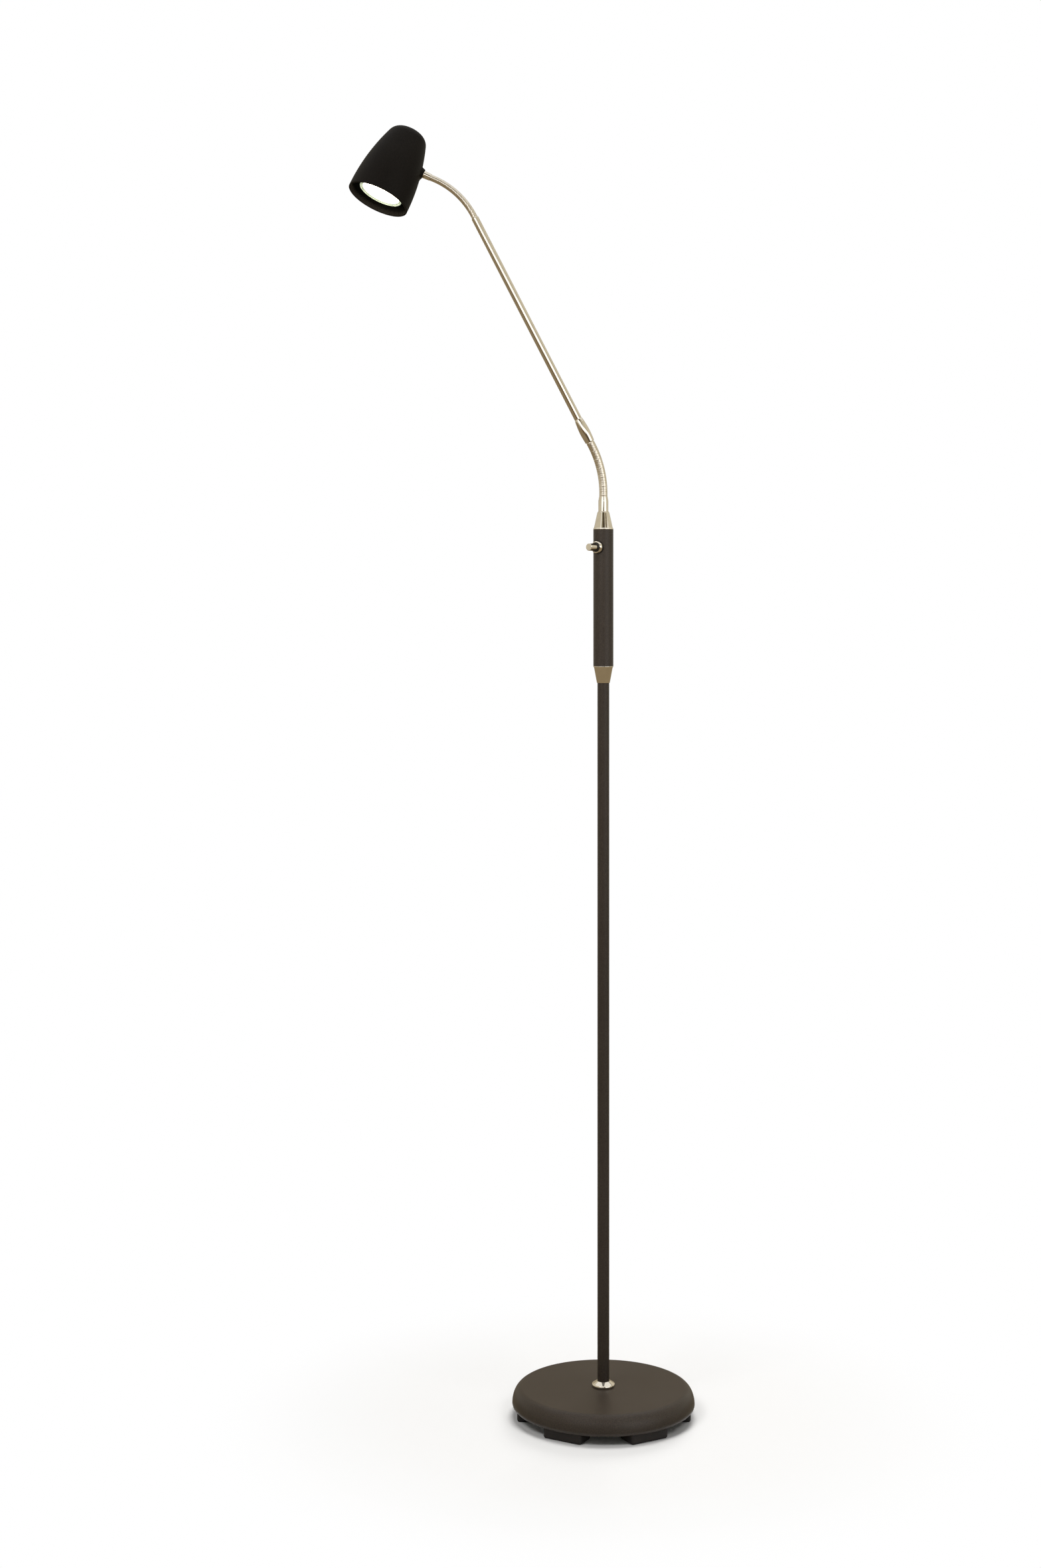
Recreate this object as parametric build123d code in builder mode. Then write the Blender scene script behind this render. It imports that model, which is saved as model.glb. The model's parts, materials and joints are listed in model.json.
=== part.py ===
from build123d import *
import os
from math import cos, radians, sin, sqrt

# Gooseneck reading floor lamp, in millimetres. Z is up and the origin lies on the floor
# under the pole. The arm leans towards -X, and the head turns its mouth a little to -Y.

# ---- Fits ----
tight = 0.02  # radial gap of parts that are pressed, glued or crimped together
fit = 0.06  # radial gap of threads and of parts that slide or turn
air = 0.3  # gap between parts that don't touch

# ---- Base ----
base_r = 100.0  # widest radius
base_widest_z = 14.5
base_rim = 11.0  # width of the rim's rounding, from the flat top to the widest ring
base_top_z = 32.2
base_lip_inset = 3.0  # of the cover's lower edge from the widest ring
base_under_radius = 5.0  # of the arc from the widest ring to the lower edge
cover_wall = 1.5
plate_wall = 2.0
weight_gap = 2.0  # between the weight's side and the cover's flat
pad_height = 10.8
pad_count = 6
pad_long = 46.0  # along the rim
pad_deep = 24.0  # towards the pole
pad_inset = 2.5  # of the pads' outer side from the cover's lower edge
pad_corner = 3.0
centre_pad_r = 14.0
pad_edge = 2.5
screw_count = 3
screw_ring_r = 45.0
screw_r = 2.0
screw_length = 10.0
screw_head_r = 3.8
screw_head_height = 2.4
slot_width = 1.0
slot_depth = 1.0
lead_slot_width = 10.0
nipple_r = 5.0
nipple_bore_r = 3.5
nipple_tail = 1.0  # nipple's length below its nut
nut_pocket_r = 14.0
nut_pocket_depth = 8.0
washer_r = 11.0
washer_wall = 1.5
base_nut_across = 15.0
base_nut_height = 5.0
inlet_z = 18.8
grommet_bore_r = 3.25
grommet_neck_r = 4.4
grommet_flange_r = 6.2
grommet_flange = 1.8
grommet_depth = 6.0
grommet_chamfer = 0.6

# ---- Pole and grip ----
collar_r = 12.8
collar_rim = 3.2
collar_height = 7.2
collar_top_r = 7.3
pole_r = 6.5
pole_wall = 1.0
pole_length = 772.1  # between the base and the lower cone
pole_insert_length = 14.0
grip_r = 11.0
grip_wall = 1.2
grip_length = 150.0
lower_cone_length = 18.5
lower_cone_end_r = 7.1
upper_cone_length = 19.6
upper_cone_end_r = 6.7
cone_lip = 1.6  # cylindrical lip of a cone where it meets the grip
cone_shoulder_r = 10.3
cone_spigot = 8.0
clamp_height = 6.0
clamp_screw_r = 1.5
pole_tail = 8.5  # pole's length above the lower cone's spigot

# ---- Switch ----
switch_drop = 19.6  # below the top of the grip
switch_heading_angle = 232.0  # degrees from +X towards +Y
switch_body_width = 12.0
switch_body_height = 12.0
switch_body_front = 5.6
switch_body_back = 7.0
bush_r = 5.2
bush_bore_r = 4.55
bush_mouth_r = 4.1
bush_mouth = 1.5
bush_flange_r = 6.3
bush_flange = 1.2
bush_length = 10.4
nut_r = 7.3
nut_height = 3.4
nut_chamfer = 0.6
button_r = 4.0
button_length = 17.5
button_start = 9.5  # from the pole's axis, at rest
button_shoulder_r = 4.45
button_shoulder = 2.0
button_chamfer = 0.5
spring_r = 2.4
spring_wire_r = 0.3
spring_turns = 6
spring_pocket = 5.0
spring_end_gap = 0.1

# ---- Necks ----
# Each neck is a chain. A segment carries some ribs, and a ball at its upper end, which
# looks like one more rib and turns in the next segment's socket.
socket_gap = 0.1
ball_cover_angle = 52.0  # degrees of the ball above its equator
rib_groove = 0.3
rib_depth = 0.28
rib_ramp = 0.3

ferrule_length = 16.4
ferrule_r = 5.5
ferrule_taper = 5.0
ferrule_mouth_r = 4.7
ferrule_stem_r = 4.0
ferrule_bore_r = 2.2
stem_nut_across = 13.0
stem_nut_height = 3.0
stem_washer_r = 8.0
stem_washer_wall = 1.0
stem_tail = 0.6

lower_rib_r = 4.5
lower_ball_r = 4.25
lower_bore_r = 1.7
lower_pitch = 3.3
lower_ribs = 2  # on each segment, beside its ball
lower_segments = 6
lower_first_angle = 1.5  # first segment's lean from vertical, in degrees
lower_step_angle = 4.9  # what each next segment adds
neck_grip = 11.0  # length of a neck's root inside what holds it

coupling_length = 28.0
coupling_start_r = 5.1
coupling_belly_r = 5.75
coupling_belly_at = 12.5
coupling_end_r = 4.5
coupling_round = 1.5
arm_angle = 27.2
arm_r = 4.1
arm_wall = 0.8
arm_reach = 279.0  # from the lower neck's last ball to the upper neck's first
arm_in_coupling = 14.0

upper_rib_r = 3.4
upper_ball_r = 3.2
upper_bore_r = 1.2
upper_pitch = 2.04
upper_ribs = 3
upper_segments = 8
upper_first_angle = 29.0
upper_step_angle = 5.3

# ---- Head ----
head_angle = 24.5  # shade's axis from vertical, in the picture's plane
head_roll_angle = 14.6  # turn of the shade about its ferrule
head_ferrule_length = 8.6
head_ferrule_start_r = 3.75
head_ferrule_end_r = 4.2
head_stem_r = 3.0
head_stem_bore_r = 1.5
boss_r = 5.2
boss_flange_r = 5.9
boss_flange = 1.0
boss_proud = 32.9  # boss's outer face from the shade's axis
boss_inner = 25.6
strap_wall = 1.2
strap_width = 12.0
strap_start = 43.5
strap_bend = 54.5
strap_end_x = 17.5
strap_far_x = -11.0
head_nut_across = 10.0
head_nut_height = 3.2
head_stem_tail = 0.8

shade_length = 87.7
shade_r = 34.9
shade_widest = 2.5
shade_side_radius = 235.7
shade_crown_radius = 13.5
shade_wall = 2.0
neck_at = 48.8  # ferrule's axis from the mouth

bulb_recess = 7.0
bulb_r = 25.0
bulb_rim = 3.0
bulb_wall = 1.0
bulb_throat_r = 12.5
bulb_neck_r = 14.5
bulb_bowl = 33.0
bulb_bowl_radius = 46.0
lens_r = 22.6
lens_wall = 2.0
lens_recess = 0.8
cap_r = 13.5
cap_length = 14.5
cap_end_r = 12.6
pin_spacing = 10.0
pin_r = 1.25
pin_head_r = 2.5
pin_head = 2.0
pin_length = 6.0
bulb_twist_angle = 15.0

socket_r = 13.5
socket_face = 2.2
socket_cavity = 5.0
socket_cavity_r = 9.0
socket_screw_ring_r = 8.0
socket_screw_r = 1.5
socket_screw_length = 6.0
socket_screw_head_r = 2.8
socket_screw_head = 1.8

# ---- Places worked out from the sizes ----
base_flat_r = base_r - base_rim
base_lip_r = base_r - base_lip_inset
pad_outer_r = base_lip_r - pad_inset
plate_top_z = pad_height + plate_wall
weight_top_z = base_top_z - cover_wall
pocket_top_z = plate_top_z + nut_pocket_depth
washer_z = pocket_top_z - washer_wall
base_nut_z = washer_z - base_nut_height
pole_bore_r = pole_r - pole_wall
lower_cone_z = base_top_z + pole_length
grip_z = lower_cone_z + lower_cone_length
grip_bore_r = grip_r - grip_wall
grip_top_z = grip_z + grip_length
ferrule_z = grip_top_z + upper_cone_length
ferrule_top_z = ferrule_z + ferrule_length
spigot_r = grip_bore_r - tight
spigot_top_z = grip_z + cone_spigot
pole_top_z = spigot_top_z + pole_tail
stem_washer_z = grip_top_z - cone_spigot - stem_washer_wall
stem_nut_z = stem_washer_z - stem_nut_height
switch_z = grip_top_z - switch_drop

os.makedirs("parts", exist_ok=True)


def save(piece, name):
    piece.part.label = name
    export_step(piece.part, f"parts/{name}.step")


def leaned(origin, lean):
    # plane whose normal leans from +Z towards -X, with its own x axis in the same picture
    return Plane(
        origin=origin,
        x_dir=(cos(radians(lean)), 0, sin(radians(lean))),
        z_dir=(-sin(radians(lean)), 0, cos(radians(lean))),
    )


def side_of(plane):
    # plane through the piece's axis, for a half section: x is the radius, y the height
    return Plane(origin=plane.origin, x_dir=plane.x_dir, z_dir=-plane.y_dir)


def axis_of(plane):
    return Axis(plane.origin, plane.z_dir)


# ---- Base ----
def base_section(inset):
    # half section of the rounded disc, drawn in by inset
    top_z = base_top_z - inset
    lip_r = base_lip_r - inset
    with BuildLine() as section:
        Line((0, top_z), (base_flat_r, top_z))
        EllipticalCenterArc(
            (base_flat_r, base_widest_z),
            base_r - inset - base_flat_r,
            top_z - base_widest_z,
            0,
            arc_size=90,
        )
        RadiusArc((base_r - inset, base_widest_z), (lip_r, pad_height), -base_under_radius)
        Line((0, pad_height), (lip_r, pad_height))
        Line((0, pad_height), (0, top_z))
    return section.line


inlet = Plane(origin=(0, base_r, inlet_z), x_dir=(1, 0, 0), z_dir=(0, 1, 0))

with BuildPart() as base_cover:
    with BuildSketch(Plane.XZ):
        make_face(base_section(0).edges())
    revolve(axis=Axis.Z)
    with BuildSketch(Plane.XZ):
        make_face(base_section(cover_wall).edges())
    revolve(axis=Axis.Z, mode=Mode.SUBTRACT)
    with BuildSketch(Plane.XY.offset(weight_top_z)):
        Circle(nipple_r + fit)
    extrude(amount=cover_wall, mode=Mode.SUBTRACT)
    with BuildSketch(inlet.offset(-grommet_depth)):
        Circle(grommet_neck_r + fit)
    extrude(amount=grommet_depth + cover_wall, mode=Mode.SUBTRACT)
save(base_cover, "base_cover")

weight_r = base_flat_r - weight_gap
with BuildPart() as base_weight:
    with BuildSketch(Plane.XY.offset(plate_top_z)):
        Circle(weight_r)
    extrude(amount=weight_top_z - plate_top_z)
    with BuildSketch(Plane.XY.offset(plate_top_z)):
        Circle(nut_pocket_r)
    extrude(amount=nut_pocket_depth, mode=Mode.SUBTRACT)
    with BuildSketch(Plane.XY.offset(plate_top_z)):
        Circle(nipple_r + fit)
    extrude(amount=weight_top_z - plate_top_z, mode=Mode.SUBTRACT)
    with BuildSketch(Plane.XY.offset(plate_top_z)):
        with Locations((0, weight_r / 2)):
            Rectangle(lead_slot_width, weight_r + air)
    extrude(amount=inlet_z + grommet_neck_r - plate_top_z, mode=Mode.SUBTRACT)
    with BuildSketch(Plane.XY.offset(plate_top_z)):
        with PolarLocations(screw_ring_r, screw_count):
            Circle(screw_r + fit)
    extrude(amount=screw_length, mode=Mode.SUBTRACT)
save(base_weight, "base_weight")

with BuildPart() as base_plate:
    with BuildSketch(Plane.XY.offset(pad_height)):
        Circle(base_lip_r - cover_wall - air)
        with PolarLocations(screw_ring_r, screw_count):
            Circle(screw_r + fit, mode=Mode.SUBTRACT)
    extrude(amount=plate_wall)
save(base_plate, "base_plate")

with BuildPart() as plate_screws:
    with BuildSketch(Plane.XY.offset(pad_height)):
        with PolarLocations(screw_ring_r, screw_count):
            Circle(screw_r)
    extrude(amount=screw_length)
    with BuildSketch(Plane.XY.offset(pad_height - screw_head_height)):
        with PolarLocations(screw_ring_r, screw_count):
            Circle(screw_head_r)
    extrude(amount=screw_head_height)
    with BuildSketch(Plane.XY.offset(pad_height - screw_head_height)):
        with PolarLocations(screw_ring_r, screw_count):
            Rectangle(2 * screw_head_r, slot_width)
    extrude(amount=slot_depth, mode=Mode.SUBTRACT)
save(plate_screws, "plate_screws")

with BuildPart() as foot_pads:
    with BuildSketch():
        with PolarLocations(pad_outer_r - pad_deep / 2, pad_count):
            RectangleRounded(pad_deep, pad_long, pad_corner)
        Circle(centre_pad_r)
    extrude(amount=pad_height)
    fillet(foot_pads.edges().group_by(Axis.Z)[0], pad_edge)
save(foot_pads, "foot_pads")

with BuildPart() as base_nipple:
    with BuildSketch(Plane.XY.offset(base_nut_z - nipple_tail)):
        Circle(nipple_r)
        Circle(nipple_bore_r, mode=Mode.SUBTRACT)
    extrude(amount=base_top_z + pole_insert_length - base_nut_z + nipple_tail)
save(base_nipple, "base_nipple")

with BuildPart() as base_washer:
    with BuildSketch(Plane.XY.offset(washer_z)):
        Circle(washer_r)
        Circle(nipple_r + fit, mode=Mode.SUBTRACT)
    extrude(amount=washer_wall)
save(base_washer, "base_washer")

with BuildPart() as base_nut:
    with BuildSketch(Plane.XY.offset(base_nut_z)):
        RegularPolygon(base_nut_across / 2, 6, major_radius=False)
        Circle(nipple_r + fit, mode=Mode.SUBTRACT)
    extrude(amount=base_nut_height)
save(base_nut, "base_nut")

with BuildPart() as cable_grommet:
    with BuildSketch(inlet.offset(-grommet_depth)):
        Circle(grommet_flange_r)
    extrude(amount=grommet_depth + grommet_flange)
    chamfer(cable_grommet.edges().group_by(Axis.Y)[-1], grommet_chamfer)
    with BuildSketch(Plane.XZ):
        make_face(base_section(-tight).edges())
    revolve(axis=Axis.Z, mode=Mode.SUBTRACT)
    with BuildSketch(inlet.offset(-grommet_depth)):
        Circle(grommet_neck_r)
    extrude(amount=grommet_depth)
    with BuildSketch(inlet.offset(-grommet_depth)):
        Circle(grommet_bore_r)
    extrude(amount=grommet_depth + grommet_flange, mode=Mode.SUBTRACT)
save(cable_grommet, "cable_grommet")

# ---- Pole ----
with BuildPart() as base_collar:
    with BuildSketch(Plane.XZ):
        with BuildLine():
            Polyline(
                (pole_r + fit, base_top_z),
                (collar_r, base_top_z),
                (collar_r, base_top_z + collar_rim),
                (collar_top_r, base_top_z + collar_height),
                (pole_r + fit, base_top_z + collar_height),
                close=True,
            )
        make_face()
    revolve(axis=Axis.Z)
save(base_collar, "base_collar")

with BuildPart() as pole_insert:
    with BuildSketch(Plane.XY.offset(base_top_z)):
        Circle(pole_bore_r - tight)
        Circle(nipple_r + fit, mode=Mode.SUBTRACT)
    extrude(amount=pole_insert_length)
save(pole_insert, "pole_insert")

with BuildPart() as pole_tube:
    with BuildSketch(Plane.XY.offset(base_top_z)):
        Circle(pole_r)
        Circle(pole_bore_r, mode=Mode.SUBTRACT)
    extrude(amount=pole_top_z - base_top_z)
save(pole_tube, "pole_tube")

with BuildPart() as lower_cone:
    with BuildSketch(Plane.XZ):
        with BuildLine():
            Polyline(
                (pole_r + fit, lower_cone_z),
                (lower_cone_end_r, lower_cone_z),
                (cone_shoulder_r, grip_z - cone_lip),
                (grip_r, grip_z - cone_lip / 2),
                (grip_r, grip_z),
                (spigot_r, grip_z),
                (spigot_r, spigot_top_z),
                (pole_r + fit, spigot_top_z),
                close=True,
            )
        make_face()
    revolve(axis=Axis.Z)
save(lower_cone, "lower_cone")

clamp_z = spigot_top_z
clamp_side = Plane(
    origin=(pole_r + fit, 0, clamp_z + clamp_height / 2), x_dir=(0, 1, 0), z_dir=(1, 0, 0)
)
with BuildPart() as pole_clamp:
    with BuildSketch(Plane.XY.offset(clamp_z)):
        Circle(grip_bore_r - air)
        Circle(pole_r + fit, mode=Mode.SUBTRACT)
    extrude(amount=clamp_height)
    with BuildSketch(clamp_side.offset(-pole_wall / 2)):
        Circle(clamp_screw_r + fit)
    extrude(amount=grip_bore_r, mode=Mode.SUBTRACT)
save(pole_clamp, "pole_clamp")

with BuildPart() as clamp_screw:
    with BuildSketch(clamp_side):
        Circle(clamp_screw_r)
    extrude(amount=grip_bore_r - air - pole_r - fit - tight)
save(clamp_screw, "clamp_screw")

# ---- Grip and switch ----
heading = radians(switch_heading_angle)
switch = Plane(
    origin=(0, 0, switch_z),
    x_dir=(-sin(heading), cos(heading), 0),
    z_dir=(cos(heading), sin(heading), 0),
)
bush_start = switch_body_front

with BuildPart() as grip_tube:
    with BuildSketch(Plane.XY.offset(grip_z)):
        Circle(grip_r)
        Circle(grip_bore_r, mode=Mode.SUBTRACT)
    extrude(amount=grip_length)
    with BuildSketch(switch):
        Circle(bush_r + fit)
    extrude(amount=2 * grip_r, mode=Mode.SUBTRACT)
save(grip_tube, "grip_tube")

with BuildPart() as switch_body:
    with BuildSketch(switch.offset(-switch_body_back)):
        Rectangle(switch_body_width, switch_body_height)
    extrude(amount=switch_body_front + switch_body_back)
save(switch_body, "switch_body")

with BuildPart() as switch_bush:
    with BuildSketch(switch.offset(bush_start)):
        Circle(bush_flange_r)
    extrude(amount=bush_flange)
    with BuildSketch(switch.offset(bush_start)):
        Circle(bush_r)
    extrude(amount=bush_length)
    with BuildSketch(switch.offset(bush_start)):
        Circle(bush_bore_r)
    extrude(amount=bush_length - bush_mouth, mode=Mode.SUBTRACT)
    with BuildSketch(switch.offset(bush_start)):
        Circle(bush_mouth_r)
    extrude(amount=bush_length, mode=Mode.SUBTRACT)
save(switch_bush, "switch_bush")

with BuildPart() as switch_nut:
    with BuildSketch(switch.offset(grip_r)):
        Circle(nut_r)
    extrude(amount=nut_height)
    chamfer(switch_nut.edges(), nut_chamfer)
    with BuildSketch(switch.offset(grip_r)):
        Circle(bush_r + fit)
    extrude(amount=nut_height, mode=Mode.SUBTRACT)
save(switch_nut, "switch_nut")

with BuildPart() as switch_button:
    with BuildSketch(switch.offset(button_start)):
        Circle(button_r)
    extrude(amount=button_length)
    chamfer(switch_button.edges(), button_chamfer)
    with BuildSketch(switch.offset(button_start)):
        Circle(button_shoulder_r)
    extrude(amount=button_shoulder)
    with BuildSketch(switch.offset(button_start)):
        Circle(spring_r + spring_wire_r + air)
    extrude(amount=spring_pocket, mode=Mode.SUBTRACT)
save(switch_button, "switch_button")

spring_end = spring_wire_r + spring_end_gap
spring_foot = switch.offset(bush_start + spring_end)
spring_length = button_start + spring_pocket - bush_start - 2 * spring_end
with BuildPart() as switch_spring:
    with BuildLine():
        coil = Helix(
            pitch=spring_length / spring_turns,
            height=spring_length,
            radius=spring_r,
            center=spring_foot.origin,
            direction=spring_foot.z_dir,
        )
    with BuildSketch(Plane(origin=coil @ 0, z_dir=coil % 0)):
        Circle(spring_wire_r)
    sweep(path=coil, is_frenet=True)
save(switch_spring, "switch_spring")

with BuildPart() as upper_cone:
    with BuildSketch(Plane.XZ):
        with BuildLine():
            Polyline(
                (ferrule_stem_r + fit, grip_top_z - cone_spigot),
                (spigot_r, grip_top_z - cone_spigot),
                (spigot_r, grip_top_z),
                (grip_r, grip_top_z),
                (grip_r, grip_top_z + cone_lip / 2),
                (cone_shoulder_r, grip_top_z + cone_lip),
                (upper_cone_end_r, ferrule_z - cone_lip),
                (upper_cone_end_r - cone_lip / 2, ferrule_z),
                (ferrule_stem_r + fit, ferrule_z),
                close=True,
            )
        make_face()
    revolve(axis=Axis.Z)
save(upper_cone, "upper_cone")

with BuildPart() as neck_washer:
    with BuildSketch(Plane.XY.offset(stem_washer_z)):
        Circle(stem_washer_r)
        Circle(ferrule_stem_r + fit, mode=Mode.SUBTRACT)
    extrude(amount=stem_washer_wall)
save(neck_washer, "neck_washer")

with BuildPart() as neck_nut:
    with BuildSketch(Plane.XY.offset(stem_nut_z)):
        RegularPolygon(stem_nut_across / 2, 6, major_radius=False)
        Circle(ferrule_stem_r + fit, mode=Mode.SUBTRACT)
    extrude(amount=stem_nut_height)
save(neck_nut, "neck_nut")


# ---- Necks ----
def add_ball(plane, ball_r):
    # ball on the plane's origin, cut off above its cover
    with Locations(plane):
        Sphere(ball_r, arc_size1=-90, arc_size2=ball_cover_angle, align=Align.NONE)


def cut_socket(plane, ball_r):
    # room for the ball below, a little larger than it
    with Locations(plane):
        Sphere(ball_r + socket_gap, mode=Mode.SUBTRACT)


def bore(plane, radius, length):
    # round hole from the plane along its normal
    with Locations(plane):
        Cylinder(
            radius,
            length,
            align=(Align.CENTER, Align.CENTER, Align.MIN),
            mode=Mode.SUBTRACT,
        )


def rib_circles(start, count, pitch, crest_r):
    # heights and radii of the ribs' circles, four to a rib
    circles = []
    for number in range(count):
        foot = start + number * pitch
        head = foot + pitch - rib_groove
        circles += [
            (foot, crest_r - rib_depth),
            (foot + rib_ramp, crest_r),
            (head - rib_ramp, crest_r),
            (head, crest_r - rib_depth),
        ]
    return circles


def neck_root(hinge, length, root_r, ball_r, bore_r):
    # the neck's fixed end: a plain stem inside its holder, with the first ball on it
    with BuildPart() as root:
        with BuildSketch(hinge.offset(-length)):
            Circle(root_r)
        extrude(amount=length)
        add_ball(hinge, ball_r)
        bore(hinge.offset(-length), bore_r, length + ball_r)
    return root


def neck_segment(hinge, ribs, pitch, crest_r, ball_r, bore_r):
    # its socket sits on the hinge's ball, and its own ball one length further on
    length = (ribs + 1) * pitch
    start = (pitch + rib_groove) / 2
    with BuildPart() as segment:
        for height, radius in rib_circles(start, ribs, pitch, crest_r):
            with BuildSketch(hinge.offset(height)):
                Circle(radius)
        loft(ruled=True)
        cut_socket(hinge, ball_r)
        add_ball(hinge.offset(length), ball_r)
        bore(hinge, bore_r, length + ball_r)
    return segment


def neck_hinges(first, count, first_angle, step_angle, length):
    # planes of a neck's hinges, one more than its segments
    planes = []
    origin = first
    for number in range(count):
        planes.append(leaned(origin, first_angle + number * step_angle))
        origin = planes[-1].offset(length).origin
    return planes, origin


lower_length = (lower_ribs + 1) * lower_pitch
lower_start = (0, 0, ferrule_top_z + (lower_pitch - rib_groove) / 2)
lower_hinges, arm_start = neck_hinges(
    lower_start, lower_segments, lower_first_angle, lower_step_angle, lower_length
)
arm = leaned(arm_start, arm_angle)
upper_start = arm.offset(arm_reach).origin
upper_length = (upper_ribs + 1) * upper_pitch
upper_hinges, head_start = neck_hinges(
    upper_start, upper_segments, upper_first_angle, upper_step_angle, upper_length
)

with BuildPart() as neck_ferrule:
    with BuildSketch(Plane.XZ):
        with BuildLine():
            Polyline(
                (0, stem_nut_z - stem_tail),
                (ferrule_stem_r, stem_nut_z - stem_tail),
                (ferrule_stem_r, ferrule_z),
                (ferrule_r, ferrule_z),
                (ferrule_r, ferrule_top_z - ferrule_taper),
                (ferrule_mouth_r, ferrule_top_z),
                (0, ferrule_top_z),
                close=True,
            )
        make_face()
    revolve(axis=Axis.Z)
    bore(Plane.XY.offset(stem_nut_z - stem_tail), ferrule_bore_r, ferrule_top_z - stem_nut_z)
    bore(Plane.XY.offset(ferrule_top_z - neck_grip), lower_rib_r - rib_depth + tight, neck_grip)
save(neck_ferrule, "neck_ferrule")

lower_neck_root = neck_root(
    Plane(origin=lower_start),
    neck_grip + lower_start[2] - ferrule_top_z - tight,
    lower_rib_r - rib_depth,
    lower_ball_r,
    lower_bore_r,
)
save(lower_neck_root, "lower_neck_root")

for number, hinge in enumerate(lower_hinges, 1):
    segment = neck_segment(
        hinge, lower_ribs, lower_pitch, lower_rib_r, lower_ball_r, lower_bore_r
    )
    save(segment, f"lower_neck_{number}")

# ---- Arm ----
coupling_start = (lower_pitch + rib_groove) / 2
arm_foot = coupling_start + coupling_length - arm_in_coupling
with BuildPart() as arm_coupling:
    with BuildSketch(side_of(arm)):
        with BuildLine():
            Polyline(
                (0, coupling_start),
                (coupling_start_r, coupling_start),
                (coupling_belly_r, coupling_start + coupling_belly_at),
                (coupling_end_r, coupling_start + coupling_length - coupling_round),
                (arm_r + fit, coupling_start + coupling_length),
                (0, coupling_start + coupling_length),
                close=True,
            )
        make_face()
    revolve(axis=axis_of(arm))
    cut_socket(arm, lower_ball_r)
    bore(arm, lower_bore_r, coupling_start + coupling_length)
    bore(arm.offset(arm_foot), arm_r + tight, arm_in_coupling)
save(arm_coupling, "arm_coupling")

arm_end = arm_reach - (upper_pitch - rib_groove) / 2
with BuildPart() as arm_tube:
    with BuildSketch(arm.offset(arm_foot)):
        Circle(arm_r)
        Circle(arm_r - arm_wall, mode=Mode.SUBTRACT)
    extrude(amount=arm_end - arm_foot)
save(arm_tube, "arm_tube")

upper_neck_root = neck_root(
    Plane(origin=upper_start, x_dir=arm.x_dir, z_dir=arm.z_dir),
    neck_grip,
    arm_r - arm_wall - tight,
    upper_ball_r,
    upper_bore_r,
)
save(upper_neck_root, "upper_neck_root")

for number, hinge in enumerate(upper_hinges, 1):
    segment = neck_segment(
        hinge, upper_ribs, upper_pitch, upper_rib_r, upper_ball_r, upper_bore_r
    )
    save(segment, f"upper_neck_{number}")

# ---- Head ----
# The ferrule leaves the neck square to the shade's axis. The head's plane lies on the
# mouth, with its normal towards the crown and its x axis towards the neck.
ferrule = leaned(head_start, 90 - head_angle)
crown_dir = Vector(ferrule.x_dir).rotate(Axis((0, 0, 0), ferrule.z_dir), head_roll_angle)
ferrule_start = (upper_pitch + rib_groove) / 2
ferrule_end = ferrule_start + head_ferrule_length
axis_point = ferrule.offset(ferrule_end + boss_proud).origin
head = Plane(origin=axis_point - crown_dir * neck_at, x_dir=-ferrule.z_dir, z_dir=crown_dir)
strap_top = bulb_recess + bulb_rim + bulb_bowl + cap_length + air
strap_top += socket_face + socket_cavity + socket_screw_length
stem_end = ferrule_end + boss_proud - boss_inner + strap_wall + head_nut_height

with BuildPart() as head_ferrule:
    with BuildSketch(side_of(ferrule)):
        with BuildLine():
            Polyline(
                (0, ferrule_start),
                (head_ferrule_start_r, ferrule_start),
                (head_ferrule_end_r, ferrule_end),
                (head_stem_r, ferrule_end),
                (head_stem_r, stem_end + head_stem_tail),
                (0, stem_end + head_stem_tail),
                close=True,
            )
        make_face()
    revolve(axis=axis_of(ferrule))
    cut_socket(ferrule, upper_ball_r)
    bore(ferrule, head_stem_bore_r, stem_end + head_stem_tail)
save(head_ferrule, "head_ferrule")


def head_across(x):
    # plane square to the ferrule, x from the shade's axis, facing the axis
    return Plane(
        origin=axis_point + head.x_dir * x, x_dir=head.z_dir, z_dir=-head.x_dir
    )


with BuildPart() as head_bush:
    with BuildSketch(head_across(boss_proud)):
        Circle(boss_flange_r)
    extrude(amount=boss_flange)
    with BuildSketch(head_across(boss_proud)):
        Circle(boss_r)
    extrude(amount=boss_proud - boss_inner)
    bore(head_across(boss_proud), head_stem_r + fit, boss_proud - boss_inner)
save(head_bush, "head_bush")

with BuildPart() as head_nut:
    with BuildSketch(head_across(boss_inner - strap_wall)):
        RegularPolygon(head_nut_across / 2, 6, major_radius=False)
        Circle(head_stem_r + fit, mode=Mode.SUBTRACT)
    extrude(amount=head_nut_height)
save(head_nut, "head_nut")


def shade_section(inset):
    # half section of the bullet: one long side arc that runs into the crown's small arc
    side_r = shade_side_radius - inset
    crown_r = shade_crown_radius - inset
    side_x = shade_r - shade_side_radius
    top = shade_length - inset
    crown_y = shade_length - shade_crown_radius
    crown_x = side_x + sqrt((side_r - crown_r) ** 2 - (crown_y - shade_widest) ** 2)
    turn = Vector(crown_x - side_x, crown_y - shade_widest).normalized()
    mouth_x = side_x + sqrt(side_r**2 - shade_widest**2)
    meet = (side_x + side_r * turn.X, shade_widest + side_r * turn.Y)
    with BuildLine() as section:
        RadiusArc((mouth_x, 0), meet, -side_r)
        RadiusArc(meet, (crown_x, top), -crown_r)
        Polyline((crown_x, top), (0, top), (0, 0), (mouth_x, 0))
    return section.line


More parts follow.
